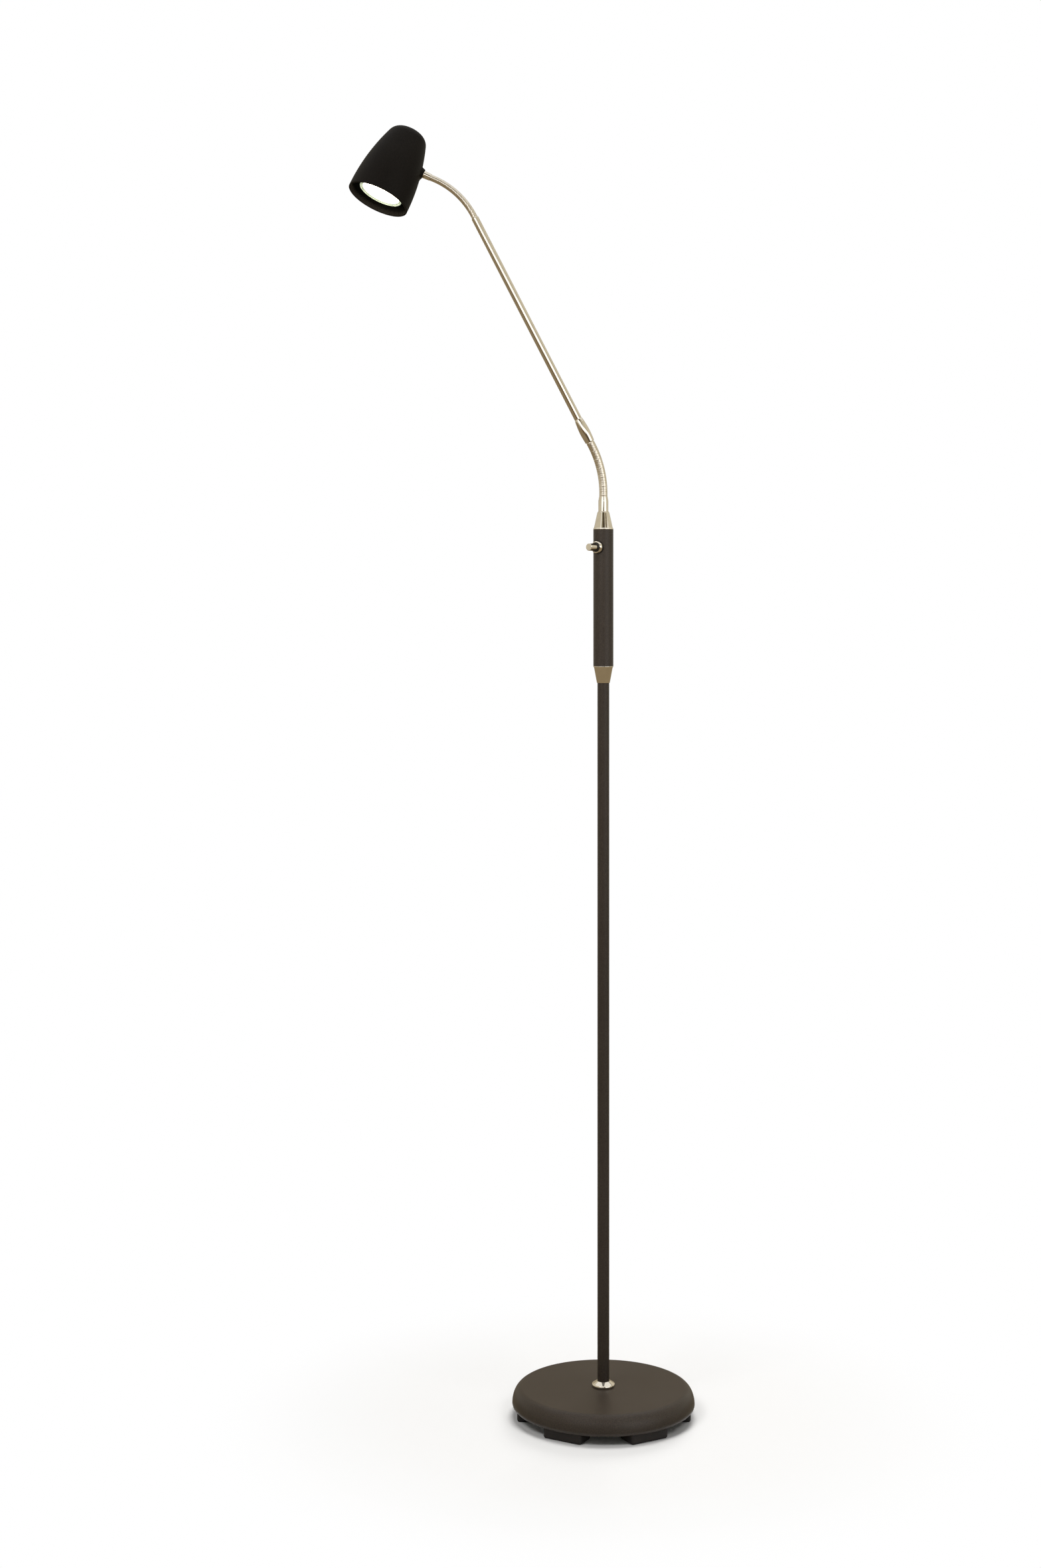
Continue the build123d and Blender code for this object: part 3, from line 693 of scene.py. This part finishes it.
# switch, across the grip towards the viewer's left: lengths run out from the pole's axis
switch = {"z": 953.2, "heading": 232.0, "seat": 11.0}
heading = math.radians(switch["heading"])
switchPlace = placeAlong(
    (0, 0, switch["z"] * mm), (math.cos(heading), math.sin(heading), 0), (0, 0, 1)
)

switchNut = {
    "boreR": 5.2,
    "r": 7.0,
    "foot": 9.6,
    "height": 3.4,
    "bevel": ((7.0, 2.3), (6.75, 1.3), (6.2, 0.4), (5.75, 0.0)),  # radius, down from the top
}
nutTop = switch["seat"] + switchNut["height"]
shape = turnedShape(
    (switchNut["boreR"], switchNut["foot"]),
    [
        ("to", switchNut["r"], switchNut["foot"]),
        *[("to", radius, nutTop - down) for radius, down in switchNut["bevel"]],
        ("to", switchNut["boreR"], nutTop),
        ("to", switchNut["boreR"], switchNut["foot"]),
    ],
    steps=72,
)
breakEdges(shape, width=0.12, segments=2, sharp=40)
placePiece("switchNut", shape, switchPlace, chromePlate, "stand", "chrome", "switch_nut")

switchWasher = {"boreR": 6.9, "r": 7.3, "foot": 9.4, "side": 0.5, "proud": 0.7, "faceR": 7.1}
shape = turnedShape(
    (switchWasher["boreR"], switchWasher["foot"]),
    [
        ("to", switchWasher["r"], switchWasher["foot"]),
        ("to", switchWasher["r"], switch["seat"] + switchWasher["side"]),
        ("to", switchWasher["faceR"], switch["seat"] + switchWasher["proud"]),
        ("to", switchWasher["boreR"], switch["seat"] + switchWasher["proud"]),
        ("to", switchWasher["boreR"], switchWasher["foot"]),
    ],
    steps=72,
)
placePiece("switchWasher", shape, switchPlace, padRubber, "stand", "rubber")

switchBush = {"boreR": 4.1, "r": 5.18, "faceR": 4.8, "foot": 6.0, "shoulder": 15.6, "end": 16.0}
shape = turnedShape(
    (switchBush["boreR"], switchBush["foot"]),
    [
        ("to", switchBush["r"], switchBush["foot"]),
        ("to", switchBush["r"], switchBush["shoulder"]),
        ("to", switchBush["faceR"], switchBush["end"]),
        ("to", switchBush["boreR"], switchBush["end"]),
        ("to", switchBush["boreR"], switchBush["foot"]),
    ],
    steps=64,
)
placePiece(
    "switchBush", shape, switchPlace, blackNylon, "stand", "black_plastic", "switch_bush"
)

button = {"r": 4.0, "foot": 9.5, "end": 27.0, "edgeR": 0.6}
shape = turnedShape(
    (0, button["foot"]),
    [
        ("to", button["r"], button["foot"]),
        ("to", button["r"], button["end"] - button["edgeR"]),
        ("arc", button["r"] - button["edgeR"], button["end"] - button["edgeR"], 90, 6),
        ("to", 0, button["end"]),
    ],
    steps=64,
)
placePiece("switchButton", shape, switchPlace, chromePlate, "button", "chrome", "switch_button")
print("pole, grip and switch made")

# necks: short stretches of hose in a row, each with a ball on top that sits in the next
ballPlay = 0.03
ballCut = 50  # degrees above its middle, where the ball ends in a flat
ballSteps = 14
recessSteps = 16


def hoseShape(hose):
    # low bands with fine grooves between, and the ball's band almost flush at the joint
    recessR = hose["ballR"] + ballPlay
    footTurn = math.degrees(math.asin(hose["zone"] / recessR))
    dip = math.degrees(math.asin(hose["zone"] / hose["ballR"]))
    top = hose["length"]
    pitch = (top - 2 * hose["zone"]) / hose["bands"]
    outline = [
        ("arc", 0, 0, footTurn - 90, recessSteps),
        ("to", hose["r"] - hose["edge"], hose["zone"]),
    ]
    for number in range(hose["bands"]):
        low = hose["zone"] + number * pitch
        if number:
            outline.append(("to", hose["r"] - hose["deep"], low))
        outline += [
            ("to", hose["r"] - hose["crown"], low + hose["groove"] / 2),
            ("to", hose["r"], low + pitch / 2),
            ("to", hose["r"] - hose["crown"], low + pitch - hose["groove"] / 2),
        ]
    outline += [
        ("to", hose["r"] - hose["edge"], top - hose["zone"]),
        ("to", math.sqrt(hose["ballR"] ** 2 - hose["zone"] ** 2), top - hose["zone"]),
        ("arc", 0, top, dip + ballCut, ballSteps),
        ("to", 0, top + hose["ballR"] * math.sin(math.radians(ballCut))),
    ]
    shape = turnedShape((0, recessR), outline, steps=64)
    # the bands follow the neck's arc, and the ball and its recess stay round
    bend = math.radians(hose["step"])
    ballAt = Vector((0, 0, top * mm))
    roundR = (recessR + 0.005) * mm
    for vert in shape.verts:
        if min(vert.co.length, (vert.co - ballAt).length) > roundR:
            along = vert.co.z / (top * mm)
            turn = (along - 0.5) * bend
            swell = top * mm * bend / 2 * along * (1 - along)
            vert.co = (
                vert.co.x * math.cos(turn) + swell,
                vert.co.y,
                vert.co.z + vert.co.x * math.sin(turn),
            )
    return shape


def ballShape(hose):
    # the fixed end's ball on half a band
    dip = math.degrees(math.asin(hose["zone"] / hose["ballR"]))
    return turnedShape(
        (0, -hose["seat"]),
        [
            ("to", hose["r"] - hose["edge"], -hose["seat"]),
            ("to", hose["r"], hose["groove"] / 2 - hose["seat"]),
            ("to", hose["r"], -hose["zone"] - hose["groove"] / 2),
            ("to", hose["r"] - hose["edge"], -hose["zone"]),
            ("to", math.sqrt(hose["ballR"] ** 2 - hose["zone"] ** 2), -hose["zone"]),
            ("arc", 0, 0, dip + ballCut, ballSteps),
            ("to", 0, hose["ballR"] * math.sin(math.radians(ballCut))),
        ],
        steps=64,
    )


lowerHose = {
    "r": 4.5,
    "length": 9.9,
    "bands": 3,
    "zone": 0.9,  # half the height of the ball's band at a joint
    "groove": 0.24,
    "deep": 0.17,
    "edge": 0.005,  # how far a stretch's end and a band's edges lie below its radius
    "crown": 0.02,
    "ballR": 4.54,
    "seat": 1.54,  # from the fixed end's foot up to its ball's middle
    "firstLean": 1.5,
    "step": 4.9,  # degrees from one stretch to the next
    "rootLean": 0.0,
}
upperHose = {
    "r": 3.4,
    "length": 8.16,
    "bands": 3,
    "zone": 0.64,
    "groove": 0.2,
    "deep": 0.13,
    "edge": 0.005,
    "crown": 0.015,
    "ballR": 3.415,
    "seat": 0.93,
    "firstLean": 29.0,
    "step": 5.3,
    "rootLean": 27.2,
}
necks = (("lower_neck", lowerHose, "stand"), ("upper_neck", upperHose, "arm"))
neckJoints = {}
for neck, hose, rootBody in necks:
    chain = [joint for joint in frame["joints"] if joint["name"].startswith(neck)]
    neckJoints[neck] = chain
    placePiece(
        neck + "_rootBall",
        ballShape(hose),
        placeLeaned(chain[0]["pos_m"], hose["rootLean"]),
        hosePlate,
        rootBody,
        "chrome",
        neck + "_root",
    )
    for number, joint in enumerate(chain[:-1]):
        placePiece(
            joint["child"] + "_hose",
            hoseShape(hose),
            placeLeaned(joint["pos_m"], hose["firstLean"] + number * hose["step"]),
            hosePlate,
            joint["child"],
            "chrome",
            joint["child"],
        )
print("necks made:", sum(len(chain) for chain in neckJoints.values()), "hinges")

# arm: a straight tube in a coupling with a slight belly, lengths from the last lower hinge
armLean = 27.2
armPlace = placeLeaned(neckJoints["lower_neck"][-1]["pos_m"], armLean)
coupling = {
    "boreR": 3.9,
    "foot": 1.8,
    "belly": (  # radius, up from the foot
        (5.1, 0.0),
        (5.45, 5.0),
        (5.68, 9.0),
        (5.75, 12.5),
        (5.66, 16.0),
        (5.35, 20.0),
        (4.95, 24.0),
        (4.5, 26.8),
        (4.16, 28.0),
    ),
}
foot = coupling["foot"]
head = foot + coupling["belly"][-1][1]
shape = turnedShape(
    (coupling["boreR"], foot),
    [
        *[("to", radius, foot + up) for radius, up in coupling["belly"]],
        ("to", coupling["boreR"], head),
        ("to", coupling["boreR"], foot),
    ],
)
breakEdges(shape, width=0.25, sharp=25)
placePiece("armCoupling", shape, armPlace, chromePlate, "arm", "chrome", "arm_coupling")

armTube = {"r": 4.1, "foot": 15.8, "end": 278.13, "edgeR": 0.35, "boreR": 3.3, "boreDeep": 2.0}
shape = turnedShape(
    (0, armTube["foot"]),
    [
        ("to", armTube["r"], armTube["foot"]),
        ("to", armTube["r"], armTube["end"] - armTube["edgeR"]),
        ("arc", armTube["r"] - armTube["edgeR"], armTube["end"] - armTube["edgeR"], 90, 4),
        ("to", armTube["boreR"], armTube["end"]),
        ("to", armTube["boreR"], armTube["end"] - armTube["boreDeep"]),
        ("to", 0, armTube["end"] - armTube["boreDeep"]),
    ],
)
placePiece("armTube", shape, armPlace, chromePlate, "arm", "chrome", "arm_tube")
print("arm made")

# shade: one long side arc that runs into a round crown, lengths up from the mouth
shade = {
    "r": 34.9,
    "length": 87.7,
    "widest": 2.5,
    "sideR": 235.7,
    "crownR": 13.5,
    "wall": 2.0,
    "trim": 0.02,  # how far the skin lies inside the solid's
    "edge": 0.5,
}
twist = joints["bulb_twist"]
mouth = Vector(twist["pos_m"])
crownway = Vector(twist["axis"]).normalized()
headFerrule = {
    "lean": 65.5,
    "start": 1.17,
    "length": 8.6,
    "boreR": 2.9,
    "startR": 3.75,
    "endR": 4.2,
    "stemR": 3.0,
    "stem": 12.0,
}
ferrulePlace = placeLeaned(neckJoints["upper_neck"][-1]["pos_m"], headFerrule["lean"])
neckway = ferrulePlace.col[2].to_3d()
shadePlace = placeAlong(mouth, crownway, -neckway)


def arcAngle(centre, start, end):
    # degrees from one point to another about a centre
    first = math.atan2(start[1] - centre[1], start[0] - centre[0])
    second = math.atan2(end[1] - centre[1], end[0] - centre[0])
    return math.degrees(second - first)


def shadeSkin(inset):
    # the points and arc centres of the half section, drawn in by inset
    sideR = shade["sideR"] - inset
    crownR = shade["crownR"] - inset
    sideAt = (shade["r"] - shade["sideR"], shade["widest"])
    crownY = shade["length"] - shade["crownR"]
    rise = crownY - shade["widest"]
    crownAt = (sideAt[0] + math.sqrt((sideR - crownR) ** 2 - rise**2), crownY)
    toMeet = Vector((crownAt[0] - sideAt[0], rise)).normalized() * sideR
    return {
        "mouth": (sideAt[0] + math.sqrt(sideR**2 - shade["widest"] ** 2), 0.0),
        "meet": (sideAt[0] + toMeet.x, sideAt[1] + toMeet.y),
        "crown": (crownAt[0], shade["length"] - inset),
        "sideAt": sideAt,
        "crownAt": crownAt,
    }


def skinArc(skin, centre, start, end, steps):
    # the move along one arc of a skin, from one of its points to another
    return ("arc", *skin[centre], arcAngle(skin[centre], skin[start], skin[end]), steps)


outer = shadeSkin(shade["trim"])
inner = shadeSkin(shade["wall"])
shape = turnedShape(
    outer["mouth"],
    [
        skinArc(outer, "sideAt", "mouth", "meet", 36),
        skinArc(outer, "crownAt", "meet", "crown", 16),
        ("to", 0, outer["crown"][1]),
        ("to", 0, inner["crown"][1]),
        ("to", *inner["crown"]),
        skinArc(inner, "crownAt", "crown", "meet", 14),
        skinArc(inner, "sideAt", "meet", "mouth", 32),
        ("to", *outer["mouth"]),
    ],
    steps=160,
)
breakEdges(shape, width=shade["edge"], sharp=60)
placePiece("shadeShell", shape, shadePlace, softLacquer, "head", "soft_black", "shade")

# ferrule at the shade, with the stem that goes through the boss
ferruleEnd = headFerrule["start"] + headFerrule["length"]
shape = turnedShape(
    (headFerrule["boreR"], headFerrule["start"]),
    [
        ("to", headFerrule["startR"], headFerrule["start"]),
        ("to", headFerrule["endR"], ferruleEnd),
        ("to", headFerrule["stemR"], ferruleEnd),
        ("to", headFerrule["stemR"], ferruleEnd + headFerrule["stem"]),
        ("to", 0, ferruleEnd + headFerrule["stem"]),
    ],
)
breakEdges(shape, width=0.2)
placePiece("headFerrule", shape, ferrulePlace, chromePlate, "head", "chrome", "head_ferrule")

# the boss flares onto the shade's side: a turned disc whose outer rings are laid on the skin
boss = {
    "proud": 32.9,  # from the shade's axis out to the boss's face
    "boreR": 3.06,
    "face": 0.02,
    "faceR": 5.0,
    "edge": 0.3,
    "edgeR": 5.35,
    "flareUp": 7.4,  # the flare's reach towards the crown
    "flareDown": 12.0,  # and towards the mouth
    "rings": 9,
    "sweep": 2.4,  # how late the flare turns in to the skin
    "sunk": 0.1,
    "inside": 1.2,
    "back": 4.0,
}
outline = [("to", boss["faceR"], boss["face"])]
for ring in range(boss["rings"] + 1):
    outline.append(("to", boss["edgeR"] + ring, boss["edge"]))
outline += [
    ("to", boss["edgeR"] + boss["rings"], boss["back"]),
    ("to", boss["boreR"], boss["back"]),
    ("to", boss["boreR"], boss["face"]),
]
shape = turnedShape((boss["boreR"], boss["face"]), outline)
# the boss's own axes seen from the shade's: how far up and how far aside a point lies
upShade = ferrulePlace.to_3x3().transposed() @ crownway
acrossShade = upShade.cross(Vector((0, 0, 1)))
heightAt = (ferrulePlace.translation - mouth).dot(crownway) / mm
offsetAt = (ferrulePlace.translation - mouth).dot(ferrulePlace.to_3x3() @ acrossShade) / mm
for vert in shape.verts:
    spot = vert.co / mm
    reach = spot.xy.length
    if reach < boss["edgeR"] + 0.01:  # the face and the bore stay as they are
        continue
    share = (reach - boss["edgeR"]) / boss["rings"]
    facing = spot.xy.normalized().dot(upShade.xy.normalized())
    flare = boss["flareDown"] + (boss["flareUp"] - boss["flareDown"]) * (1 + facing) / 2
    spot.xy = spot.xy.normalized() * (boss["edgeR"] + share * (flare - boss["edgeR"]))
    height = heightAt + spot.dot(upShade) - spot.z * upShade.z
    offset = offsetAt + spot.dot(acrossShade) - spot.z * acrossShade.z
    around = outer["sideAt"][0] + math.sqrt(
        (shade["sideR"] - shade["trim"]) ** 2 - (height - shade["widest"]) ** 2
    )
    skin = boss["proud"] - math.sqrt(around**2 - offset**2)
    if spot.z > boss["back"] / 2:
        spot.z = skin + boss["inside"]
    else:
        sweep = 1 - max(0, 1 - share) ** boss["sweep"]
        spot.z = boss["edge"] + (skin + boss["sunk"] - boss["edge"]) * sweep
    vert.co = spot * mm
bmesh.ops.recalc_face_normals(shape, faces=shape.faces)
placePiece(
    "shadeBoss",
    shape,
    ferrulePlace @ Matrix.Translation((0, 0, ferruleEnd * mm)),
    softLacquer,
    "head",
    "black_plastic",
    "head_bush",
)

# bulb, with its front this far up from the shade's mouth
bulbFront = 7.0


def bulbShape(pairs):
    # turned from pairs of a radius and how far behind the bulb's front it lies
    first, *others = [(radius, bulbFront + behind) for radius, behind in pairs]
    return turnedShape(first, [("to", *spot) for spot in others])


reflector = {
    "seat": ((23.35, 3.0), (23.35, 1.2)),
    "rim": ((23.7, 0.5), (24.3, 0.3), (24.1, 0.1), (24.5, 0.0), (25.0, 0.5), (25.0, 3.0)),
    "bowl": ((24.2, 8.0), (22.6, 15.0), (20.0, 22.0), (17.3, 29.0), (14.5, 36.0)),
    "back": ((0, 36.0), (0, 3.0)),
}
shape = bulbShape(
    reflector["seat"][-1:]
    + reflector["rim"]
    + reflector["bowl"]
    + reflector["back"]
    + reflector["seat"]
)
breakEdges(shape, width=0.15, sharp=35)
# the bowl and its rim take the dim glow: partly painted light, standing in for the lamp's light
# reflected on the rim
placePiece("bulbReflector", shape, shadePlace, dimLens, "bulb", "reflector", "bulb_reflector")

lensRing = {
    "face": ((21.6, 1.5), (22.1, 1.1), (22.7, 1.0), (23.2, 1.3)),
    "back": ((23.2, 2.8), (21.6, 2.8), (21.6, 1.5)),
}
shape = bulbShape(lensRing["face"] + lensRing["back"])
placePiece("bulbLensRing", shape, shadePlace, dimLens, "bulb", "glass")
lens = {
    "face": ((0, 0.8), (8.0, 0.85), (15.0, 1.0), (21.1, 1.25), (21.5, 1.6)),
    "back": ((21.5, 2.8), (0, 2.8)),
}
shape = bulbShape(lens["face"] + lens["back"])
placePiece("bulbLens", shape, shadePlace, litLens, "bulb", "glass", "bulb_lens")
print("head and bulb made")

# the solids that no piece replaces take their finishes, zinc plate where none is named
nodeFinish = {
    "foot_pads": padRubber,
    "cable_grommet": blackNylon,
    "switch_body": blackNylon,
    "base_weight": castIron,
    "bulb_socket": steatite,
    "bulb_cap": steatite,
    "bulb_pins": turnedBrass,
}
replacedNodes = {name for thing in scene.objects for name in thing.get("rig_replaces", [])}
for name in sorted(set(nodes) - replacedNodes):
    for slot in nodes[name].material_slots:
        slot.material = nodeFinish.get(name, zincPlate)
print("kept nodes dressed:", len(nodes) - len(replacedNodes))

# studio floor and backdrop, in metres
stage = {"floorR": 6.0, "fadeFrom": 0.17, "fadeTo": 0.44, "paper": "#f6f5f3", "fill": 0.14}


def backdropRays(tree):
    # 1 where the camera or a mirror looks straight at the backdrop
    rays = addNode(tree, "ShaderNodeLightPath").outputs
    direct = addNode(
        tree,
        "ShaderNodeMath",
        {"operation": "MAXIMUM"},
        {0: rays["Is Camera Ray"], 1: rays["Is Glossy Ray"]},
    )
    return addNode(
        tree,
        "ShaderNodeMath",
        {"operation": "MAXIMUM"},
        {0: direct.outputs[0], 1: rays["Is Transmission Ray"]},
    ).outputs[0]


def stagePiece(name, shape, finish):
    piece = addThing(name, shape, finish)
    return piece


# matt paper floor: it takes the lamp's shadow and fades into the white backdrop
paper = bpy.data.materials.new("mattPaper")
tree = clearTree(paper)
place = addNode(tree, "ShaderNodeTexCoord").outputs["Object"]
distance = addNode(tree, "ShaderNodeVectorMath", {"operation": "LENGTH"}, {0: place})
fade = addNode(
    tree,
    "ShaderNodeMapRange",
    {
        "interpolation_type": "SMOOTHSTEP",
        "From Min": stage["fadeFrom"],
        "From Max": stage["fadeTo"],
    },
    {"Value": distance.outputs["Value"]},
)
share = addNode(
    tree,
    "ShaderNodeMath",
    {"operation": "MULTIPLY"},
    {0: fade.outputs["Result"], 1: backdropRays(tree)},
)
matt = addNode(tree, "ShaderNodeBsdfDiffuse", {"Color": toLinear(stage["paper"])})
white = addNode(tree, "ShaderNodeEmission", {"Color": (1, 1, 1, 1), "Strength": 1.0})
mixed = addNode(
    tree,
    "ShaderNodeMixShader",
    None,
    {0: share.outputs[0], 1: matt.outputs[0], 2: white.outputs[0]},
)
addNode(tree, "ShaderNodeOutputMaterial", None, {"Surface": mixed.outputs[0]})
shape = bmesh.new()
bmesh.ops.create_circle(shape, cap_ends=True, segments=96, radius=stage["floorR"])
stagePiece("studioFloor", shape, paper)

# the world is white to look at and lights the lamp with a weak even fill
world = bpy.data.worlds.new("studio")
scene.world = world
tree = clearTree(world)
level = addNode(
    tree,
    "ShaderNodeMapRange",
    {"To Min": stage["fill"], "To Max": 1.0},
    {"Value": backdropRays(tree)},
)
sky = addNode(
    tree,
    "ShaderNodeBackground",
    {"Color": (1, 1, 1, 1)},
    {"Strength": level.outputs["Result"]},
)
addNode(tree, "ShaderNodeOutputWorld", None, {"Surface": sky.outputs[0]})

# cards that are seen in reflections alone: the studio's walls, soft boxes and dark ceiling.
# Each has its azimuth from the viewer's side, positive to the right, and half its width, in
# degrees, its distance, foot and top in metres, its colour and its strength.
cards = {
    "wallRight": (105, 50, 6.0, 0.0, 6.0, "#dcd6c5", 1.0),
    "wallLeft": (-96, 56, 6.0, 0.0, 6.0, "#d6cfbf", 1.0),
    "wallBack": (180, 32, 6.1, 0.0, 6.0, "#aba18d", 1.0),
    "boxLeft": (-21.5, 23.5, 3.1, 1.0, 2.2, "#ffffff", 1.7),
    "boxMiddle": (6, 15, 3.2, 1.36, 2.1, "#ffffff", 1.7),
    "boxRight": (42, 23, 5.0, 0.6, 3.07, "#ffffff", 1.7),
    "viewer": (11, 8.5, 3.0, 0.0, 1.33, "#50473c", 1.0),
    "darkLeft": (-28, 15, 3.0, 0.25, 0.98, "#75614a", 1.0),
    "darkMiddle": (-6, 9, 2.98, 0.25, 1.05, "#5f5345", 1.0),
    "darkCeiling": (3, 15, 3.4, 2.1, 4.6, "#574d3d", 1.0),
    "ceilingLeft": (-22, 12, 3.45, 2.2, 4.6, "#a09a84", 1.0),
    "lineLeft": (-34, 5, 3.3, 2.15, 4.4, "#ffffff", 1.2),
    "patchRight": (42, 15, 4.9, 3.05, 3.42, "#857b66", 1.0),
    "ceilingRight": (42, 25, 5.1, 3.4, 6.0, "#d2cbb8", 1.0),
}


def cardFinish(name, code, strength):
    finish = bpy.data.materials.new(name)
    tree = clearTree(finish)
    light = addNode(tree, "ShaderNodeEmission", {"Color": toLinear(code), "Strength": strength})
    addNode(tree, "ShaderNodeOutputMaterial", None, {"Surface": light.outputs[0]})
    return finish


def hideCard(piece):
    piece.visible_camera = False
    piece.visible_diffuse = False
    piece.visible_transmission = False
    piece.visible_volume_scatter = False
    piece.visible_shadow = False


for name, (azimuth, half, away, foot, top, code, strength) in cards.items():
    # an upright edge, swung round the lamp
    shape = bmesh.new()
    edge = math.radians(azimuth - half - 90)
    first = [
        shape.verts.new((away * math.cos(edge), away * math.sin(edge), z)) for z in (foot, top)
    ]
    shape.edges.new(first)
    swingShape(shape, 2 * half, steps=24)
    hideCard(stagePiece(name, shape, cardFinish(name, code, strength)))

# the brown floor of the reflections, a flat ring just above the paper
ground = {"from": 0.115, "to": 9.0, "z": 0.002, "colour": "#95866d"}
shape = bmesh.new()
first = [
    shape.verts.new((0, -reach, ground["z"])) for reach in (ground["from"], ground["to"])
]
shape.edges.new(first)
swingShape(shape, 360, steps=64)
hideCard(stagePiece("brownGround", shape, cardFinish("brownGround", ground["colour"], 1.0)))

# soft lamps: two in front, above the grip, one overhead and one behind. Each has its place and
# what it faces, in metres, its width in metres and its power in watts.
lamps = {
    "softLeft": ((-0.7, -1.0, 1.42), (0, 0, 1.02), 0.7, 10.5),
    "softRight": ((0.75, -0.9, 1.36), (0, 0, 1.02), 0.7, 5.5),
    "softTop": ((0.2, 0.3, 3.0), (0, 0, 0.0), 1.6, 44.0),
    "softBack": ((0.6, 2.2, 1.7), (0, 0, 0.9), 1.4, 26.0),
}
for name, (spot, target, size, power) in lamps.items():
    data = bpy.data.lights.new(name, "AREA")
    data.shape = "DISK"
    data.size = size
    data.energy = power
    lamp = bpy.data.objects.new(name, data)
    lamp.location = spot
    lamp.rotation_euler = (Vector(target) - Vector(spot)).to_track_quat("-Z", "Y").to_euler()
    lamp.visible_camera = False
    lamp.visible_glossy = False
    scene.collection.objects.link(lamp)

# camera: level, as the photograph's upright lines stay parallel, with sizes in its pixels
photo = {"height": 2362, "focal": 3700, "horizon": 850}
camera = {"eye": (-0.09097, -2.697, 0.9345), "sensor": 36, "clipStart": 0.01}
optics = bpy.data.cameras.new("photoCamera")
optics.sensor_width = camera["sensor"]
optics.lens = photo["focal"] / photo["height"] * camera["sensor"]
optics.shift_y = (photo["horizon"] - photo["height"] / 2) / photo["height"]
optics.clip_start = camera["clipStart"]
photoCamera = bpy.data.objects.new("photoCamera", optics)
photoCamera.location = camera["eye"]
photoCamera.rotation_euler = (math.radians(90), 0, 0)
scene.collection.objects.link(photoCamera)
scene.camera = photoCamera
scene.view_settings.view_transform = "Standard"
print("stage made")
